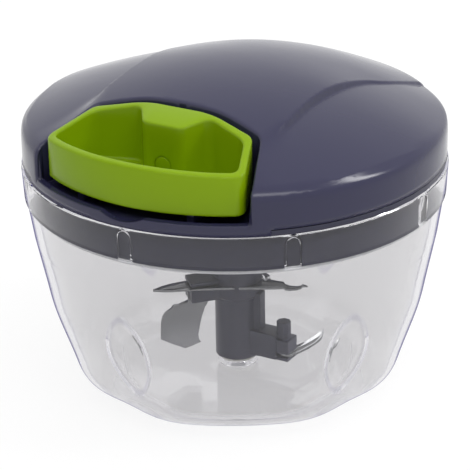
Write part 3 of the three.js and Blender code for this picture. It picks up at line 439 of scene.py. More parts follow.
# The lugs: columns of the rim's inner face under a round head, drawn inwards
lug_faces = []
for face in bowl_bm.faces:
    middle = face.calc_center_median()
    if RIM_FOOT < middle.z < LUG_TOP and LEDGE_INSIDE - 0.1 < middle.xy.length < RIM_INSIDE:
        if from_lug(middle) < LUG_HALF:
            lug_faces.append(face)
heads = {e for f in lug_faces for e in f.edges if all(abs(v.co.z - LUG_TOP) < HAIR for v in e.verts)}
bmesh.ops.subdivide_edges(bowl_bm, edges=list(heads), cuts=3)
for vert in {v for f in lug_faces for v in f.verts if abs(v.co.z - LUG_TOP) < HAIR}:
    aside = from_lug(vert.co)
    vert.co.xy *= RIM_INSIDE / vert.co.xy.length
    vert.co.z += math.sqrt(max(0.0, LUG_HALF ** 2 - aside ** 2)) - LUG_HALF
drawn_in = bmesh.ops.extrude_face_region(bowl_bm, geom=lug_faces)["geom"]
lug_front = {f for f in drawn_in if isinstance(f, bmesh.types.BMFace)}
for vert in [v for v in drawn_in if isinstance(v, bmesh.types.BMVert)]:
    vert.co.xy *= LEDGE_INSIDE / vert.co.xy.length
bmesh.ops.delete(bowl_bm, geom=lug_faces, context="FACES")
lug_edges = [
    e for e in {e for f in lug_front for e in f.edges}
    if sum(g in lug_front for g in e.link_faces) == 1
    and min(v.co.z for v in e.verts) > RIM_FOOT + RIM_ROUND + 0.1
]
softened(bowl_bm, lug_edges, LUG_ROUND)
bmesh.ops.remove_doubles(bowl_bm, verts=bowl_bm.verts, dist=HAIR)

# The clear plastic's colour is painted darker, as painted shade, in a line at its outline and round the
# hollows, and its skin sags a little
CLEAR = (0.772, 0.767, 0.777)
# painted shade: the colour the clear plastic turns to at its outline and round the hollows
PAINTED_OUTLINE_SHADE = (0.5, 0.49, 0.6)
PAINTED_BRIM_SHADE = (0.45, 0.44, 0.58)
THIN_TINT = (0.93, 0.93, 0.94)
BOUNCES = 4.5  # rays that wander on inside the wall after this many bounces leave it straight
clear = Finish("clear_plastic", Roughness=0.01, IOR=1.38, Transmission_Weight=1.0, Specular_IOR_Level=0.7)
grazing = clear.node("ShaderNodeLayerWeight", sockets={"Blend": 0.5}, output="Facing")
spot = clear.node("ShaderNodeTexCoord", output="Object")
x, y, z = (clear.node("ShaderNodeSeparateXYZ", sockets={0: spot}, output=axis) for axis in range(3))
turned = y.math("ARCTAN2", y, x) - (LOBE_TURN - math.pi / 2)
from_lobe = (y.math("FLOORED_MODULO", turned, math.pi) - math.pi / 2).size()
aside = (from_lobe - HOLLOW_PLACE) * (1 / HOLLOW_HALF)
up = clear.spread(z, HOLLOW_LOW * MM, HOLLOW_HIGH * MM, 0, math.pi)
inside = up.sine().over(0.0) ** HOLLOW_POINT * 1.06 - aside * aside - 0.06
# painted shade: a dark line drawn round the edge of each almond hollow
painted_hollow_line = clear.spread((inside - 0.1).size(), 0.04, 0.14, 1, 0)
# painted shade: the colour darkens where the surface turns away from the eye and along the hollows' edges
clear.set(Base_Color=clear.between(
    clear.spread(grazing, 0.72, 0.97, 0, 1).over(painted_hollow_line * 0.4), CLEAR, PAINTED_OUTLINE_SHADE,
))
sag = clear.bump(clear.noise(16.0, 1.0, (1.0, 1.0, 0.45)), 0.0003)
clear.set(Normal=clear.bump(clear.spread(inside, 0, 0.3, 1, 0), 0.0004, sag))
depth = clear.node("ShaderNodeLightPath", output="Ray Depth")
through = clear.ray("Shadow").over(depth.math("GREATER_THAN", depth, BOUNCES))
thin = clear.node("ShaderNodeBsdfTransparent", sockets={"Color": THIN_TINT})
# painted shade: a darker see-through sheet that takes over at the very outline
painted_brim_sheet = clear.node("ShaderNodeBsdfTransparent", sockets={"Color": PAINTED_BRIM_SHADE})
solid = Amount(clear, clear.shader.outputs[0])
with_painted_brim = clear.node(
    "ShaderNodeMixShader", sockets={0: clear.spread(grazing, 0.84, 0.92, 0, 1), 1: solid, 2: painted_brim_sheet}
)
chosen = clear.node("ShaderNodeMixShader", sockets={0: through, 1: with_painted_brim, 2: thin})
clear.fill(clear.out.inputs["Surface"], chosen)

piece("bowl_shell", bowl_bm, clear, "bowl", ["bowl"])

# Pivot pin: ground steel, pressed into the boss of the bowl, with a rounded nose. Small turned and
# moulded pieces keep their solid's shape and get smooth rounds, soft edges and their own finish.
bodies = {node: body for body, held in frame["record"]["behaviour"]["bodies"].items() for node in held}


def dressed(name, node, finish, sharp=math.radians(30), shape=None):
    """A smooth piece over a node's own solid: its loose faces merged, its rounds shaded round."""
    bm = bmesh.new()
    bm.from_mesh(nodes[node].data)
    bmesh.ops.remove_doubles(bm, verts=bm.verts, dist=1e-6)
    bmesh.ops.scale(bm, vec=(1 / MM, 1 / MM, 1 / MM), verts=bm.verts)
    if shape:
        shape(bm)
    return piece(name, bm, finish, bodies[node], [node], sharp)


steel = Finish("steel", Base_Color=(0.6, 0.61, 0.62), Metallic=1.0)
turning = steel.noise(900.0, 3.0, (0.06, 0.06, 1.0))
steel.uneven(turning, 0.16, 0.3)
steel.set(Normal=steel.bump(turning, 0.000012, steel.rounded_edges(0.0003)))
dressed("pivot_pin_turned", "pivot_pin", steel)

nylon = Finish("white_nylon", IOR=1.53, Subsurface_Weight=0.15, Subsurface_Radius=(0.002, 0.002, 0.0015))
nylon.set(Base_Color=nylon.between(nylon.noise(180.0, 4.0), (0.72, 0.7, 0.63), (0.8, 0.78, 0.72)))
nylon.uneven(nylon.noise(300.0), 0.34, 0.5)
nylon.set(Normal=nylon.bump(nylon.noise(700.0, 2.0), 0.00002, nylon.rounded_edges(0.0003)))
dressed("shaft_bush_moulded", "shaft_bush", nylon)


# Blade shaft: a moulding of satin slate plastic, turned column, hexagon head and two arms with
# slots that the blades are pressed into. It drops over the pin and turns on its bush.
def moulded(name, colour, shine, clouds, smooth, rough, pebble, relief, edge):
    """Moulded plastic: clouds of duller skin, a fine pebble, and edges that the tool left round."""
    made = Finish(name, Base_Color=colour, IOR=1.5, Specular_IOR_Level=shine)
    made.uneven(made.noise(clouds, 4.0), smooth, rough, 0.15)
    made.set(Normal=made.bump(made.noise(pebble, 2.0), relief, made.rounded_edges(edge)))
    return made


shaft_satin = moulded(
    "shaft_plastic", (0.06, 0.06, 0.09), shine=0.35, clouds=60.0, smooth=0.28, rough=0.4,
    pebble=1400.0, relief=0.000012, edge=0.0005,
)
dressed("shaft_moulded", "blade_shaft", shaft_satin)

# Blades: three sickles of polished sheet steel, ground to an edge, pressed into the arms' slots.
# The edge is a narrow ground face along the curve, painted bright as a highlight, and the flat steel is
# painted dark as a reflection.
# painted reflection: the blades' steel colour is darkened to stand for the dark things a polished blade
# mirrors
blade_steel_painted_dark = Finish("blade_steel_painted_dark", Base_Color=(0.25, 0.253, 0.262), Metallic=1.0)
GRINDING = (1.0, 0.07, 1.0)  # the scratches run along the blade
grinding = blade_steel_painted_dark.noise(260.0, 4.0, GRINDING)
blade_steel_painted_dark.uneven(grinding, 0.1, 0.22)
blade_steel_painted_dark.set(Normal=blade_steel_painted_dark.bump(grinding, 0.00002, blade_steel_painted_dark.rounded_edges(0.0002)))
# painted highlight: the ground edge's steel is painted near white
ground_edge_painted_highlight = Finish("ground_edge_painted_highlight", Base_Color=(0.86, 0.87, 0.88), Metallic=1.0)
ground_edge_painted_highlight.uneven(ground_edge_painted_highlight.noise(400.0, 4.0, GRINDING), 0.12, 0.24)
EDGE_WIDE = 0.9
EDGE_DROP = 0.35
UPPER_ACROSS = Vector((0.503, -0.864))  # across the upper sickle
SLENDER = 0.6
ARM_REACH = 18.0
SHORTER = 0.7


def ground(bm):
    """Grinds a slope along the rim of the blade's upper face and gives it the second finish, painted bright
    as a highlight.
    """
    bmesh.ops.recalc_face_normals(bm, faces=bm.faces)
    flat = [f for f in bm.faces if f.normal.z > 0.9]
    flat_edges = {e for f in flat for e in f.edges}
    rim = {v for e in flat_edges if sum(g in flat for g in e.link_faces) == 1 for v in e.verts}
    slope_faces = bmesh.ops.inset_region(bm, faces=flat, thickness=EDGE_WIDE, depth=0)["faces"]
    for face in slope_faces:
        face.material_index = 1
    for vert in rim:
        if vert.is_valid:
            vert.co.z -= EDGE_DROP


def slender(bm):
    """Draws the upper sickle in across its length and grinds it."""
    places = [v.co.xy.dot(UPPER_ACROSS) for v in bm.verts]
    middle = (min(places) + max(places)) / 2
    for vert in bm.verts:
        vert.co.xy -= UPPER_ACROSS * (vert.co.xy.dot(UPPER_ACROSS) - middle) * (1 - SLENDER)
    ground(bm)


def shortened(bm):
    """Draws the lower sickle's tip in towards its arm and grinds it."""
    for vert in bm.verts:
        reach = vert.co.xy.length
        if reach > ARM_REACH:
            vert.co.xy *= (ARM_REACH + (reach - ARM_REACH) * SHORTER) / reach
    ground(bm)


for level_name, shape in (("upper", slender), ("middle", ground), ("lower", shortened)):
    blade = dressed(f"blade_{level_name}_ground", f"blade_{level_name}", blade_steel_painted_dark, shape=shape)
    # the ground slope takes this second finish, painted bright as a highlight
    blade.data.materials.append(ground_edge_painted_highlight.material)

# Lid base: a satin slate moulding that closes the lid: plate, bearing boss, ribs, screw bosses,
# the skirt that fits in the rim with a notch for each lug, and the thin lip under the cover.
SKIRT_FOOT = 65.0
SKIRT_LOWER = 62.6
TONGUE = 58.7
satin = moulded(
    "dark_plastic", (0.023, 0.023, 0.044), shine=0.35, clouds=60.0, smooth=0.3, rough=0.42,
    pebble=1400.0, relief=0.000012, edge=0.0005,
)


def long_skirt(bm):
    """Draws the skirt's foot down over the tongue, so that only the seal's lowest lip shows."""
    for vert in bm.verts:
        if abs(vert.co.z - SKIRT_FOOT) < 0.3 and vert.co.xy.length > TONGUE:
            vert.co.z = SKIRT_LOWER


dressed("lid_base_moulded", "lid_base", satin, shape=long_skirt)

# Seal: a ring of pale silicone with a soft lip, stretched over the tongue under the skirt. Only
# its lowest edge shows below the skirt, as a pale line through the clear rim.
SEAL_INSIDE = 59.1
SEAL_OUTSIDE = 60.4
SEAL_LOW = 61.1
SEAL_HIGH = 62.5
SEAL_ROUND = 0.3
LIP_OUT = 0.4
LIP_UP = 0.6
seal_bm = bmesh.new()
seal_body = SEAL_OUTSIDE - LIP_OUT
seal_middle = (SEAL_INSIDE, (SEAL_LOW + SEAL_HIGH) / 2, 0)
spun(seal_bm, eased([
    seal_middle, (SEAL_INSIDE, SEAL_LOW, SEAL_ROUND), (seal_body, SEAL_LOW, SEAL_ROUND),
    (SEAL_OUTSIDE, SEAL_LOW + LIP_UP, SEAL_ROUND), (seal_body, SEAL_HIGH, SEAL_ROUND),
    (SEAL_INSIDE, SEAL_HIGH, SEAL_ROUND), seal_middle,
]), BOWL_STEPS)
silicone = Finish("pale_silicone", Base_Color=(0.86, 0.87, 0.88), Transmission_Weight=0.08, IOR=1.41)
silicone.uneven(silicone.noise(220.0), 0.3, 0.45)
silicone.set(Normal=silicone.bump(silicone.noise(500.0, 2.0), 0.00003))
piece("seal_ring", seal_bm, silicone, "lid", ["lid_seal"])

# Drive: the drum runs in a nylon bush on a steel washer, under a screwed housing that holds its
# spindle; the coupler below it is held by one screw. All of it is out of sight inside the lid.
screws = [f"housing_screw_{k}" for k in (1, 2, 3)] + [f"lid_screw_{k}" for k in (1, 2, 3, 4)]
for node, finish in (
    ("drum_bush", nylon), ("drum_washer", steel), ("cord_drum", nylon), ("drum_spindle", steel),
    ("drum_housing", satin), ("drive_coupler", satin), ("coupler_screw", steel),
    *((screw, steel) for screw in screws),
):
    dressed(f"{node}_made", node, finish)

# Return spring: a strip of blued spring steel wound flat in the cup of the drum. The blue turns
# to straw in patches where the strip was hotter.
blued = Finish("spring_steel", Metallic=1.0)
blued.set(Base_Color=blued.between(blued.noise(90.0), (0.13, 0.16, 0.26), (0.3, 0.29, 0.27)))
blued.uneven(blued.noise(400.0), 0.22, 0.38)
blued.set(Normal=blued.rounded_edges(0.0001))
dressed("spring_strip", "return_spring", blued)

# Cover: one moulding of hard slate plastic, polished. A raised band runs over its dome from front
# to back, a crescent ledge is cut in each side, and an open recess at the front takes the handle.
LID_RADIUS = 63.5
COVER_STEPS = 240
COVER_WALL = 1.5
SHOULDER = 13.0
SIDE_RISE = 26.2
BAND_RISE = 29.0
CAP_RADIUS = 63.0
FILLET_START = 61.3
SEAM = 75.2
COVER_FOOT = 73.3
LIP_LEVEL = 76.7
RECESS_FLOOR = 74.9
APRON = math.radians(39)
BAND_WAIST = 30.5
BAND_END = 38.5
BAND_LINE = smooth_line([
    (BAND_END * 1.06, -66), (BAND_END * 0.96, -47.6), (BAND_WAIST * 1.03, -36.8),
    (BAND_WAIST * 1.01, -22.2), (BAND_WAIST, -6), (BAND_WAIST * 1.035, 10.2),
    (BAND_WAIST * 1.09, 21.6), (BAND_END * 0.94, 31.8), (BAND_END, 48.3), (BAND_END * 1.02, 66),
], 5)
LEDGE_FROM = math.radians(37)
LEDGE_TO = math.radians(99)
LEDGE_DEPTH = 3.4
LEDGE_SKEW = 0.62
LEDGE_SLOPE = 0.85
WALL_TOP = 84.6  # above this the shell follows the dome
SHOULDER_LINE = ((62.1, 85.95), (62.75, 85.35), (63.2, 84.5), (63.42, 83.4), (LID_RADIUS, 82.0))
RECESS = {"back": 29.0, "back_half": 12.0, "side_half": 27.6, "side_back": 32.8, "mouth_half": 39.4,
          "mouth": 62.5, "corner": 4.5, "bow": 30.0}
RECESS_SIDE = Vector((
    RECESS["mouth_half"] - RECESS["side_half"], RECESS["side_back"] - RECESS["mouth"],
)).normalized()
NOTCH_HALF = 7.0
NOTCH_DEPTH = 1.75
NOTCH_SHARES = (1.0, 0.93, 0.82, 0.66)
LIP_INSIDE = 61.3
OUTSIDE = 66.0  # cuts across the wall start out here
INSIDE = 60.0  # and end in here
CORD_LEVEL = 83.4
GUIDE_HOLE = 3.4
GUIDE_WALL_HALF = 6.5


def rounded(corners, steps=8):
    """An outline of (x, y, radius) corners with the corners turned into arcs."""
    line = []
    for i, (x, y, radius) in enumerate(corners):
        corner = Vector((x, y))
        if not radius:
            line.append(corner)
            continue
        back = (Vector(corners[i - 1][:2]) - corner).normalized()
        ahead = (Vector(corners[(i + 1) % len(corners)][:2]) - corner).normalized()
        half = math.acos(max(-1.0, min(1.0, back.dot(ahead)))) / 2
        middle = corner + (back + ahead).normalized() * radius / math.sin(half)
        start = corner + back * radius / math.tan(half) - middle
        end = corner + ahead * radius / math.tan(half) - middle
        turn = math.atan2(start.cross(end), start.dot(end))
        for k in range(steps + 1):
            cos, sin = math.cos(turn * k / steps), math.sin(turn * k / steps)
            line.append(middle + Vector((start.x * cos - start.y * sin, start.x * sin + start.y * cos)))
    return line


def recess_sides(inset):
    """Half the width between the slanted sides, drawn in by inset, and how far forward they start."""
    slant = inset / math.cos(math.atan2(RECESS_SIDE.x, -RECESS_SIDE.y))

    def half_width(forward):
        return RECESS["side_half"] + (RECESS["side_back"] - forward) * RECESS_SIDE.x / RECESS_SIDE.y - slant

    return half_width, RECESS["side_back"] + inset * (1 + RECESS_SIDE.x / 2)


def recess_outline(inset, front):
    """The recess's outline from its mouth on +X round the back, drawn in by inset."""
    half_width, back = recess_sides(inset)
    corner = max(RECESS["corner"] - inset * 0.6, 1)
    half = [
        (half_width(front), -front, 0), (half_width(back), -back, corner),
        (RECESS["back_half"] - inset * 0.2, -RECESS["back"] - inset, RECESS["bow"]),
    ]
    return rounded(half + [(-x, y, r) for x, y, r in reversed(half)])


def box_of(face):
    """The lowest and highest x and y of a face, and its lowest z."""
    xs, ys, zs = zip(*(v.co for v in face.verts))
    return min(xs), max(xs), min(ys), max(ys), min(zs)


def score(bm, line, low=-1e9, reach=1.0):
    """Cuts upright edges into the faces under a line of (x, y) points, for faces above low."""
    xs, ys = [p.x for p in line], [p.y for p in line]
    boxes = {}
    for face in bm.faces:
        box = box_of(face)
        if (box[0] < max(xs) + reach and box[1] > min(xs) - reach
                and box[2] < max(ys) + reach and box[3] > min(ys) - reach and box[4] >= low):
            boxes[face] = box
    for start, end in zip(line, line[1:]):
        along = end - start
        if along.length < 1e-4:
            continue
        x0, x1 = min(start.x, end.x) - reach, max(start.x, end.x) + reach
        y0, y1 = min(start.y, end.y) - reach, max(start.y, end.y) + reach
        near = [f for f, b in boxes.items() if b[0] < x1 and b[1] > x0 and b[2] < y1 and b[3] > y0]
        corners = dict.fromkeys(v for f in near for v in f.verts)  # each once, in the same order each run
        edges = dict.fromkeys(e for f in near for e in f.edges)
        cut = bmesh.ops.bisect_plane(
            bm, geom=[*corners, *edges, *near], dist=0.02,
            plane_co=(start.x, start.y, 0), plane_no=(-along.y, along.x, 0),
        )
        for face in cut["geom"]:
            if isinstance(face, bmesh.types.BMFace):
                boxes[face] = box_of(face)


def band_edge(y):
    """Half the width of the raised band at a place along it."""
    for (x0, y0), (x1, y1) in zip(BAND_LINE, BAND_LINE[1:]):
        if y0 <= y <= y1:
            return x0 + (x1 - x0) * (y - y0) / (y1 - y0)
    return BAND_LINE[-1][0]


def ledge_depth(angle):
    """How far in from the wall the crescent reaches at an angle from -Y."""
    t = (abs(angle) - LEDGE_FROM) / (LEDGE_TO - LEDGE_FROM)
    if not 0 < t < 1:
        return 0.0
    skewed = t / LEDGE_SKEW if t < LEDGE_SKEW else (1 - t) / (1 - LEDGE_SKEW)
    return LEDGE_DEPTH * math.sin(skewed * math.pi / 2) ** 1.3


def cap(radius, rise):
    """Height of a dome that rises by so much over the shoulder at its middle."""
    return RIM_HEIGHT + SHOULDER + (rise - SHOULDER) * (1 - (radius / CAP_RADIUS) ** 2)


BAND_STEP = 1.0
BAND_SOFT = 12.0  # the step widens to this near the recess
BAND_SOFTENS = (-20.0, -42.0)
BACK_DROP = 1.2  # the sides fall away from the band at the back
BAND_CROWN = 1.5  # and the band falls to its edges there, though not at the rim
BACK_STARTS = 30.0


def cover_height(x, y):
    """Height of the dome: two low sides, the band over them, and the ledges cut down in the sides."""
    radius = math.hypot(x, y)
    inside = band_edge(y) - abs(x)
    softens, soft = BAND_SOFTENS
    width = BAND_STEP + (BAND_SOFT - BAND_STEP) * smoothstep((y - softens) / (soft - softens))
    share = smoothstep(0.5 + inside / width)
    behind = smoothstep(y / BACK_STARTS)
    side = cap(radius, SIDE_RISE) - BACK_DROP * (radius / CAP_RADIUS) ** 2 * behind
    crown = BAND_CROWN * (x / band_edge(y)) ** 2 * (1 - (radius / CAP_RADIUS) ** 6) * behind
    height = side * (1 - share) + (cap(radius, BAND_RISE) - crown) * share
    depth = ledge_depth(math.atan2(x, -y))
    beyond = radius - (RIM_RADIUS - depth)
    if depth > 0.3 and beyond > 0:
        height = min(height, cap(RIM_RADIUS - depth, SIDE_RISE) - LEDGE_SLOPE * beyond)
    return height


outline = recess_outline(0, OUTSIDE)
EDGE_ROUND = 0.9


def outside_by(x, y):
    """Distance from a point to the recess's outline, less than 0 inside it."""
    point = Vector((x, y))
    least, sign = 1e9, 1
    for start, end in zip(outline, outline[1:]):
        along = end - start
        if along.length < 1e-6:
            continue
        t = max(0, min(1, (point - start).dot(along) / along.length_squared))
        gap = (point - start - along * t).length
        if gap < least:
            least = gap
            sign = 1 if along.cross(point - start) < 0 else -1
    return least * sign


# The shell is turned, and edges are scored in it wherever its surface will step or be cut
CAP_RINGS = 40
LEDGE_STEPS = 48
cover_bm = bmesh.new()
cap_line = [
    (r, cap(r, BAND_RISE)) for r in (FILLET_START * k / CAP_RINGS for k in range(CAP_RINGS + 1))
]
wall_line = [(LID_RADIUS, z) for z in (79.5, 77.4, LIP_LEVEL, SEAM, COVER_FOOT)]
spun(cover_bm, [*cap_line, *SHOULDER_LINE, *wall_line], COVER_STEPS)
half_band = [Vector(p) for p in BAND_LINE if abs(p[1]) < INSIDE]
for side in (1, -1):
    for offset in (-0.7, -0.25, 0.25, 0.7):
        score(cover_bm, [Vector((side * (p.x - offset), p.y)) for p in half_band], WALL_TOP - 0.6)
    for offset in (-0.4, 0.0, 0.4):
        arc = []
        for k in range(LEDGE_STEPS + 1):
            angle = LEDGE_FROM + (LEDGE_TO - LEDGE_FROM) * k / LEDGE_STEPS
            r = RIM_RADIUS - ledge_depth(angle) + offset
            arc.append(Vector((side * r * math.sin(angle), -r * math.cos(angle))))
        score(cover_bm, arc, 80)
for offset in (0.0, -0.15, -0.4, -EDGE_ROUND):
    score(cover_bm, recess_outline(offset, OUTSIDE), LIP_LEVEL - HAIR)
for side in (1, -1):
    apron_end = Vector((side * math.sin(APRON), -math.cos(APRON)))
    score(cover_bm, [apron_end * OUTSIDE, apron_end * INSIDE])
    for share in NOTCH_SHARES:
        x = side * NOTCH_HALF * share
        score(cover_bm, [Vector((x, -OUTSIDE)), Vector((x, -INSIDE))])

for vert in cover_bm.verts:
    x, y, z = vert.co
    if z > WALL_TOP:
        dome = cover_height(x, y)
        vert.co.z = min(z, dome) if math.hypot(x, y) > FILLET_START + 0.05 else dome

doomed = []
for face in cover_bm.faces:
    middle = face.calc_center_median()
    radius = math.hypot(middle.x, middle.y)
    angle = abs(math.atan2(middle.x, -middle.y))
    if middle.z > LIP_LEVEL and middle.y < -20 and outside_by(middle.x, middle.y) < 0:
        doomed.append(face)
    elif middle.z < SEAM and angle > APRON:
        doomed.append(face)
bmesh.ops.delete(cover_bm, geom=doomed, context="FACES")

# The edge of the recess is a little rounded, on the dome and on the wall, and the ring at the
# height of the seam gives way to the notch in the lip
for vert in cover_bm.verts:
    x, y, z = vert.co
    if y < 0 and abs(x) < NOTCH_HALF + 3 and abs(z - SEAM) < 0.01:
        vert.co.z = (COVER_FOOT + SEAM) / 2
    if y < -24 and z > LIP_LEVEL - 0.1:
        away = outside_by(x, y)
        if -0.1 < away < EDGE_ROUND:
            radius = math.hypot(x, y)
            draw = EDGE_ROUND - math.sqrt(EDGE_ROUND ** 2 - (EDGE_ROUND - max(away, 0)) ** 2)
            if radius < FILLET_START + 0.1:
                vert.co.z -= draw
            else:
                vert.co.xy *= 1 - draw / radius


def drawn(bm, edges, move):
    """Extrudes edges, moves the new corners and returns the new edges."""
    made = bmesh.ops.extrude_edge_only(bm, edges=edges)["geom"]
    for vert in made:
        if isinstance(vert, bmesh.types.BMVert):
            vert.co = move(vert.co)
    return [e for e in made if isinstance(e, bmesh.types.BMEdge) and all(v in made for v in e.verts)]


def bored(bm, faces, centre, radius, facing, steps=32):
    """Replaces flat faces by ones with a round hole and returns the edges of the hole."""
    inside = set(faces)
    rim = [e for e in {e for f in faces for e in f.edges} if not all(g in inside for g in e.link_faces)]
    bmesh.ops.delete(bm, geom=faces, context="FACES_KEEP_BOUNDARY")
    turn = Matrix.Translation(centre) @ facing.to_track_quat("Z", "Y").to_matrix().to_4x4()
    circle = bmesh.ops.create_circle(bm, radius=radius, segments=steps, matrix=turn)["verts"]
    hole = list({e for v in circle for e in v.link_edges})
    bmesh.ops.triangle_fill(bm, edges=rim + hole, use_beauty=True, normal=facing)
    return hole


rim_edges, lip_edges = [], []
for edge in cover_bm.edges:
    if edge.is_boundary and min(v.co.z for v in edge.verts) > LIP_LEVEL - 0.05:
        if all(abs(v.co.z - LIP_LEVEL) < 0.05 for v in edge.verts):
            lip_edges.append(edge)
        elif max(v.co.xy.length for v in edge.verts) < FILLET_START + 0.05:
            rim_edges.append(edge)
rim_corners = [v.co.copy() for e in rim_edges for v in e.verts]
ends = {side: max(rim_corners, key=lambda p: side * p.x) for side in (1, -1)}
lip_reach = max(abs(v.co.x) for e in lip_edges for v in e.verts)


def behind_lip(p):
    """The lip's inner face runs round inside the wall and meets the cheeks at its ends."""
    if abs(abs(p.x) - lip_reach) < 0.05:
        end = ends[1 if p.x > 0 else -1]
        return Vector((end.x, end.y, p.z))
    return Vector((*(p.xy * LIP_INSIDE / p.xy.length), p.z))


notch_radius = (NOTCH_HALF ** 2 + NOTCH_DEPTH ** 2) / (2 * NOTCH_DEPTH)
level = drawn(cover_bm, rim_edges, lambda p: Vector((p.x, p.y, LIP_LEVEL)))
drawn(cover_bm, level, lambda p: Vector((p.x, p.y, RECESS_FLOOR)))
lip_top = drawn(cover_bm, lip_edges, behind_lip)
for vert in {v for e in lip_edges + lip_top for v in e.verts}:
    aside = abs(vert.co.x)
    if aside < NOTCH_HALF and abs(vert.co.z - LIP_LEVEL) < 0.01:
        vert.co.z = LIP_LEVEL - (math.sqrt(notch_radius ** 2 - aside ** 2) - notch_radius + NOTCH_DEPTH)
drawn(cover_bm, lip_top, lambda p: Vector((p.x, p.y, RECESS_FLOOR)))
low_verts = [v for v in cover_bm.verts if v.co.z < LIP_LEVEL + 0.1 and v.co.y < -20]
bmesh.ops.remove_doubles(cover_bm, verts=low_verts, dist=0.06)
open_edges = [e for e in cover_bm.edges if e.is_boundary and all(v.co.z > COVER_FOOT + 0.5 for v in e.verts)
              and not all(abs(v.co.z - SEAM) < 0.01 for v in e.verts)]
bmesh.ops.holes_fill(cover_bm, edges=open_edges, sides=0)
back_wall = [f for f in cover_bm.faces if abs(f.calc_center_median().x) < GUIDE_WALL_HALF
             and abs(f.calc_center_median().y + RECESS["back"]) < 0.1 and abs(f.normal.y) > 0.9]
bored(cover_bm, back_wall, Vector((0, -RECESS["back"], CORD_LEVEL)), GUIDE_HOLE, Vector((0, -1, 0)))

slate = moulded(
    "slate_plastic", (0.021, 0.0205, 0.051), shine=0.4, clouds=35.0, smooth=0.13, rough=0.2,
    pebble=90.0, relief=0.00005, edge=0.0006,
)
cover = piece("lid_shell", cover_bm, slate, "lid", ["lid_cover"], math.radians(34))
shell = cover.modifiers.new("wall", "SOLIDIFY")
shell.thickness = COVER_WALL * MM
shell.offset = -1

# Two rails on the floor of the recess carry the handle
RAIL_PLACE = 18.0
RAIL_HALF = 1.2
RAIL_BACK = 38.0
RAIL_FRONT = 56.0
RAIL_TOP = 78.0
RAIL_ROUND = 0.4
rails_bm = bmesh.new()
for side in (1, -1):
    size = Matrix.Diagonal((2 * RAIL_HALF, RAIL_FRONT - RAIL_BACK, RAIL_TOP - RECESS_FLOOR, 1))
    middle = (side * RAIL_PLACE, -(RAIL_FRONT + RAIL_BACK) / 2, (RAIL_TOP + RECESS_FLOOR) / 2)
    bmesh.ops.create_cube(rails_bm, size=1.0, matrix=Matrix.Translation(middle) @ size)
softened(rails_bm, list(rails_bm.edges), RAIL_ROUND)
piece("recess_rails", rails_bm, slate, "lid")

# Cord guide: a pressed steel eyelet in the back wall of the recess, its mouth rolled so that the
# cord doesn't chafe. Its flange lies against the wall.
SEAT_GAP = 0.3
SMALL_STEPS = 48
GUIDE_BORE = 2.2
GUIDE_FLANGE = 4.6
GUIDE_SINK = 2.6
GUIDE_PROUD = 0.8
GUIDE_RIM = 0.45


def laid_forward(bm):
    """Turns what was spun round the upright axis to lie along the cord, heights towards -Y."""
    bmesh.ops.rotate(bm, verts=bm.verts, matrix=Matrix.Rotation(math.pi / 2, 3, "X"))
    bmesh.ops.translate(bm, verts=bm.verts, vec=(0, 0, CORD_LEVEL))


guide_bm = bmesh.new()
guide_face = RECESS["back"] + SEAT_GAP
guide_sunk = guide_face - GUIDE_SINK
guide_proud = guide_face + GUIDE_PROUD
guide_barrel = GUIDE_HOLE - SEAT_GAP
guide_middle = (GUIDE_BORE, guide_face - 1.0, 0)
spun(guide_bm, eased([
    guide_middle, (GUIDE_BORE, guide_sunk, 0.3), (guide_barrel, guide_sunk, 0.3),
    (guide_barrel, guide_face, 0.1), (GUIDE_FLANGE, guide_face, 0.1),
    (GUIDE_FLANGE, guide_face + GUIDE_RIM, 0.3), (GUIDE_FLANGE - GUIDE_PROUD, guide_proud, 0.5),
    (GUIDE_BORE, guide_proud, 0.7), guide_middle,
], 5), SMALL_STEPS)
laid_forward(guide_bm)
piece("guide_eyelet", guide_bm, steel, "lid", ["cord_guide"])

# Handle: a tub of lime plastic with two finger hollows and a boss between them for the cord.
# It is moulded in one, polished outside, its rim a little rounded, and slides into the recess.
HANDLE_GAP = 2.0
HANDLE_REACH = 61.0
HANDLE_WALL = 2.2
HANDLE_FOOT = 78.3
HANDLE_FLOOR = 80.3
HANDLE_FRONT = 90.8
HANDLE_BACK = 98.2
HANDLE_CROWN = 3.3
BOSS_HALF = 6.4
BOSS_FLARE = 5.0
BOSS_DEPTH = 7.4
BOSS_ROUND = 3.2
FINGER_ROUND = 6.0
FRONT_CORNER = 3.6
FRONT_STEPS = 12
CORNER_ARC = math.radians(4.6)  # what the rounded corner takes off each end of the front
RIM_EDGE = 0.6
FOOT_EDGE = 0.7
FLOOR_EDGE = 0.8
KNOT_POCKET = 3.4
KNOT_ROOM = 2.7
CORD_HOLE = 1.5
handle_back = RECESS["back"] + HANDLE_GAP
boss_face = handle_back + HANDLE_WALL + BOSS_DEPTH


def handle_outline(inset, corner_round, back_corners):
    """The handle's outline: a bowed front between the recess's sides, and the corners of its back."""
    half_width, back = recess_sides(HANDLE_GAP + inset)
    reach = HANDLE_REACH - inset
    middle = half_width(0)
    lean = (half_width(RECESS["mouth"]) - middle) / RECESS["mouth"]
    front = (-middle * lean + math.sqrt(reach ** 2 * (1 + lean ** 2) - middle ** 2)) / (1 + lean ** 2)
    sweep = math.atan2(half_width(front), front) - CORNER_ARC
    turns = [sweep * (k + 0.5) / FRONT_STEPS for k in range(FRONT_STEPS)]
    half = [
        *((reach * math.sin(a), -reach * math.cos(a), 0) for a in turns),
        (half_width(front), -front, FRONT_CORNER - inset / 2), (half_width(back), -back, corner_round),
        *back_corners,
    ]
    return rounded(half + [(-x, y, r) for x, y, r in reversed(half)])


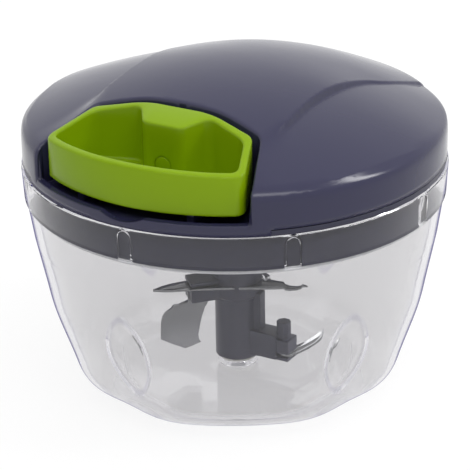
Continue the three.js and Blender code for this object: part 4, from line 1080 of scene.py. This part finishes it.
outer_line = handle_outline(0, RECESS["corner"] - HANDLE_GAP / 2, [
    (RECESS["back_half"] - HANDLE_GAP / 2, -handle_back, RECESS["bow"]),
])
inner_line = handle_outline(HANDLE_WALL, FINGER_ROUND, [
    (BOSS_HALF + BOSS_FLARE, -handle_back - HANDLE_WALL, BOSS_ROUND), (BOSS_HALF, -boss_face, BOSS_ROUND),
])
slope = (HANDLE_BACK - HANDLE_FRONT) / (HANDLE_REACH - handle_back)


def handle_top(p):
    """The rim rises to the back with the lid and falls a little to its sides."""
    crown = HANDLE_CROWN * p.x ** 2 / (RECESS["mouth_half"] - HANDLE_GAP * 3) ** 2
    return Vector((p.x, p.y, HANDLE_FRONT + slope * (HANDLE_REACH + p.y) - crown))


def closed_loop(bm, line, z):
    """A ring of edges through an outline at a height."""
    verts = [bm.verts.new((p.x, p.y, z)) for p in line]
    return [bm.edges.new(pair) for pair in zip(verts, verts[1:] + verts[:1])]


handle_bm = bmesh.new()
outside_foot = closed_loop(handle_bm, outer_line, HANDLE_FOOT)
bmesh.ops.contextual_create(handle_bm, geom=outside_foot)
outside_top = drawn(handle_bm, outside_foot, handle_top)
inside_floor = closed_loop(handle_bm, inner_line, HANDLE_FLOOR)
bmesh.ops.contextual_create(handle_bm, geom=inside_floor)
inside_top = drawn(handle_bm, inside_floor, handle_top)
bmesh.ops.bridge_loops(handle_bm, edges=outside_top + inside_top)
bmesh.ops.recalc_face_normals(handle_bm, faces=handle_bm.faces)
softened(handle_bm, outside_top + inside_top, RIM_EDGE, 4, clamp=False)
for level, size in ((HANDLE_FOOT, FOOT_EDGE), (HANDLE_FLOOR, FLOOR_EDGE)):
    level_edges = [e for e in handle_bm.edges if all(abs(v.co.z - level) < HAIR for v in e.verts)]
    softened(handle_bm, level_edges, size, clamp=False)


def upright_face(y):
    """The face of the handle that stands across the middle at a place along it."""
    return [f for f in handle_bm.faces if abs(f.calc_center_median().x) < 0.2
            and abs(f.calc_center_median().y - y) < 0.2 and abs(f.normal.y) > 0.9 and f.calc_area() > 20]


handle_bm.normal_update()
ahead = Vector((0, -1, 0))
pocket_mouth, back_hole = (
    bored(handle_bm, upright_face(-forward), Vector((0, -forward, CORD_LEVEL)), radius, ahead)
    for forward, radius in ((boss_face, KNOT_ROOM), (handle_back, CORD_HOLE))
)
pocket_end = drawn(handle_bm, pocket_mouth, lambda p: p + Vector((0, KNOT_POCKET, 0)))
narrowing = CORD_HOLE / KNOT_ROOM
narrow = drawn(handle_bm, pocket_end, lambda p: Vector((
    p.x * narrowing, p.y, CORD_LEVEL + (p.z - CORD_LEVEL) * narrowing,
)))
bmesh.ops.bridge_loops(handle_bm, edges=narrow + back_hole)

lime = moulded(
    "lime_plastic", (0.17, 0.276, 0.001), shine=0.15, clouds=40.0, smooth=0.16, rough=0.24,
    pebble=120.0, relief=0.00005, edge=0.0008,
)
piece("handle_tub", handle_bm, lime, "handle", ["pull_handle"])

# A flush plug of the same plastic closes the pocket over the knot
PLUG_THICK = 0.5
PLUG_GAP = 0.05
PLUG_SUNK = 0.03
plug_bm = bmesh.new()
plug_back, plug_front = boss_face - PLUG_THICK, boss_face - PLUG_SUNK
spun(plug_bm, eased([
    (0, plug_back, 0), (KNOT_ROOM - PLUG_GAP, plug_back, 0.05), (KNOT_ROOM - PLUG_GAP, plug_front, 0.12),
    (0, plug_front, 0),
]), SMALL_STEPS)
laid_forward(plug_bm)
piece("knot_plug", plug_bm, lime, "handle")

# Cord: a braided cord wound on the drum; it leaves the drum, bends round into the guide's eyelet,
# runs through the handle's boss and is held there by a knot. Its free stretch pulls out with the
# handle.
CORD_RADIUS = 0.9
DRUM_PITCH = 19.89
CORD_BEND = 25.39
BEND_ROUND = 5.0
WINDING_TURNS = 2.4
WINDING_PITCH = 2.25
TURN_STEPS = 40
DRUM_GAP = 2.1  # the free stretch starts this far from the winding
BEND_STEPS = 8
RUN_STEPS = 60
LEAVES = math.acos(DRUM_PITCH / CORD_BEND) - math.pi / 2
BRAID_STEP = 2.6  # length in which a strand goes once round
KNOT_SIZE = 0.5
KNOT_CORD = 0.72  # the cord is drawn tight in the knot
KNOT_PLACE = 1.35
KNOT_STEPS = 90

fibre = Finish("cord_fibre", Roughness=0.85, Sheen_Weight=0.2)
measure = fibre.node("ShaderNodeUVMap")
along, around = (fibre.node("ShaderNodeSeparateXYZ", sockets={0: measure}, output=axis) for axis in (0, 1))
strand_way = along * (2 * math.pi)
strand_side = around * (4 * math.pi)
strands = (strand_way + strand_side).sine().over((strand_way - strand_side).sine())
# painted shade: the cord is darker where the strands dip between each other, as the bump goes
strand_groove_shade = fibre.spread(strands, -1, 1, 0, 1)
fibre.set(Base_Color=fibre.between(strand_groove_shade, (0.42, 0.42, 0.4), (0.74, 0.74, 0.7)))
fibre.set(Normal=fibre.bump(strands, 0.00012))


def swept(bm, points, radius, sides=12, closed=False):
    """Draws a circle along points and writes the way along and round it to the UV map."""
    uv = bm.loops.layers.uv.verify()
    line = [points[-1], *points, points[0]] if closed else [points[0], *points, points[-1]]
    headings = [(after - before).normalized() for before, after in zip(line, line[2:])]
    turns = [headings[0].to_track_quat("Z", "Y")]
    for heading, following in zip(headings, headings[1:]):
        turns.append(heading.rotation_difference(following) @ turns[-1])
    stops = [Matrix.Translation(p) @ turn.to_matrix().to_4x4() for p, turn in zip(points, turns)]
    if closed:
        stops.append(stops[0])
    start = stops[0] @ Matrix.Rotation(-math.pi / 2, 4, "Z")
    circle = bmesh.ops.create_circle(bm, radius=radius, segments=sides, matrix=start)["verts"]
    places = {vert: (0.0, side) for side, vert in enumerate(circle)}
    first = last = list(bm.edges)
    way = 0.0
    for stop, following in zip(stops, stops[1:]):
        step = following @ stop.inverted()
        last = drawn(bm, last, lambda p: step @ p)
        way += (following.translation - stop.translation).length
        behind = {}
        for vert in {v for e in last for v in e.verts}:
            behind[vert] = next(e.other_vert(vert) for e in vert.link_edges if e.other_vert(vert) in places)
        places.update({vert: (way, places[old][1]) for vert, old in behind.items()})
    for face in bm.faces:
        wraps = {0, sides - 1} <= {places[v][1] for v in face.verts}
        for loop in face.loops:
            far, side = places[loop.vert]
            loop[uv].uv = (far / BRAID_STEP, 1.0 if wraps and side == 0 else side / sides)
    if closed:
        seam = {v for e in first + last for v in e.verts}
        bmesh.ops.remove_doubles(bm, verts=list(seam), dist=HAIR)
    else:
        for ring in (first, last):
            bmesh.ops.contextual_create(bm, geom=ring)


winding_bm = bmesh.new()
winding = []
for k in range(round(WINDING_TURNS * TURN_STEPS) + 1):
    angle = LEAVES + 2 * math.pi * k / TURN_STEPS
    height = CORD_LEVEL - WINDING_PITCH * k / TURN_STEPS
    winding.append(Vector((DRUM_PITCH * math.cos(angle), DRUM_PITCH * math.sin(angle), height)))
swept(winding_bm, winding, CORD_RADIUS)
piece("cord_turns", winding_bm, fibre, "drum", ["cord_winding"])

leaves = Vector((DRUM_PITCH * math.cos(LEAVES), DRUM_PITCH * math.sin(LEAVES)))
corner = Vector((0, -CORD_BEND))
way_out = (corner - leaves).normalized()
cut = BEND_ROUND * math.tan(way_out.angle(Vector((0, -1))) / 2)
run_start, bend_start = leaves + way_out * DRUM_GAP, corner - way_out * cut
bend_end, run_end = corner - Vector((0, cut)), Vector((0, KNOT_POCKET - boss_face))
bend = [k / BEND_STEPS for k in range(BEND_STEPS)]
run = [run_start.lerp(bend_start, t) for t in bend]
run += [bend_start.lerp(corner, t).lerp(corner.lerp(bend_end, t), t) for t in bend]
run += [bend_end.lerp(run_end, k / RUN_STEPS) for k in range(RUN_STEPS + 1)]
cord_bm = bmesh.new()
swept(cord_bm, [Vector((*p, CORD_LEVEL)) for p in run], CORD_RADIUS)
pull_cord = piece("cord_run", cord_bm, fibre, None, ["pull_cord"])
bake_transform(pull_cord)

knot_middle = Vector((0, run_end.y - KNOT_PLACE, CORD_LEVEL))
trefoil = [Vector((
    math.sin(a) + 2 * math.sin(2 * a), -math.sin(3 * a), math.cos(a) - 2 * math.cos(2 * a),
)) * KNOT_SIZE + knot_middle for a in (2 * math.pi * k / KNOT_STEPS for k in range(KNOT_STEPS))]
knot_bm = bmesh.new()
swept(knot_bm, trefoil, KNOT_CORD, 10, closed=True)
piece("cord_end_knot", knot_bm, fibre, "handle", ["cord_knot"])
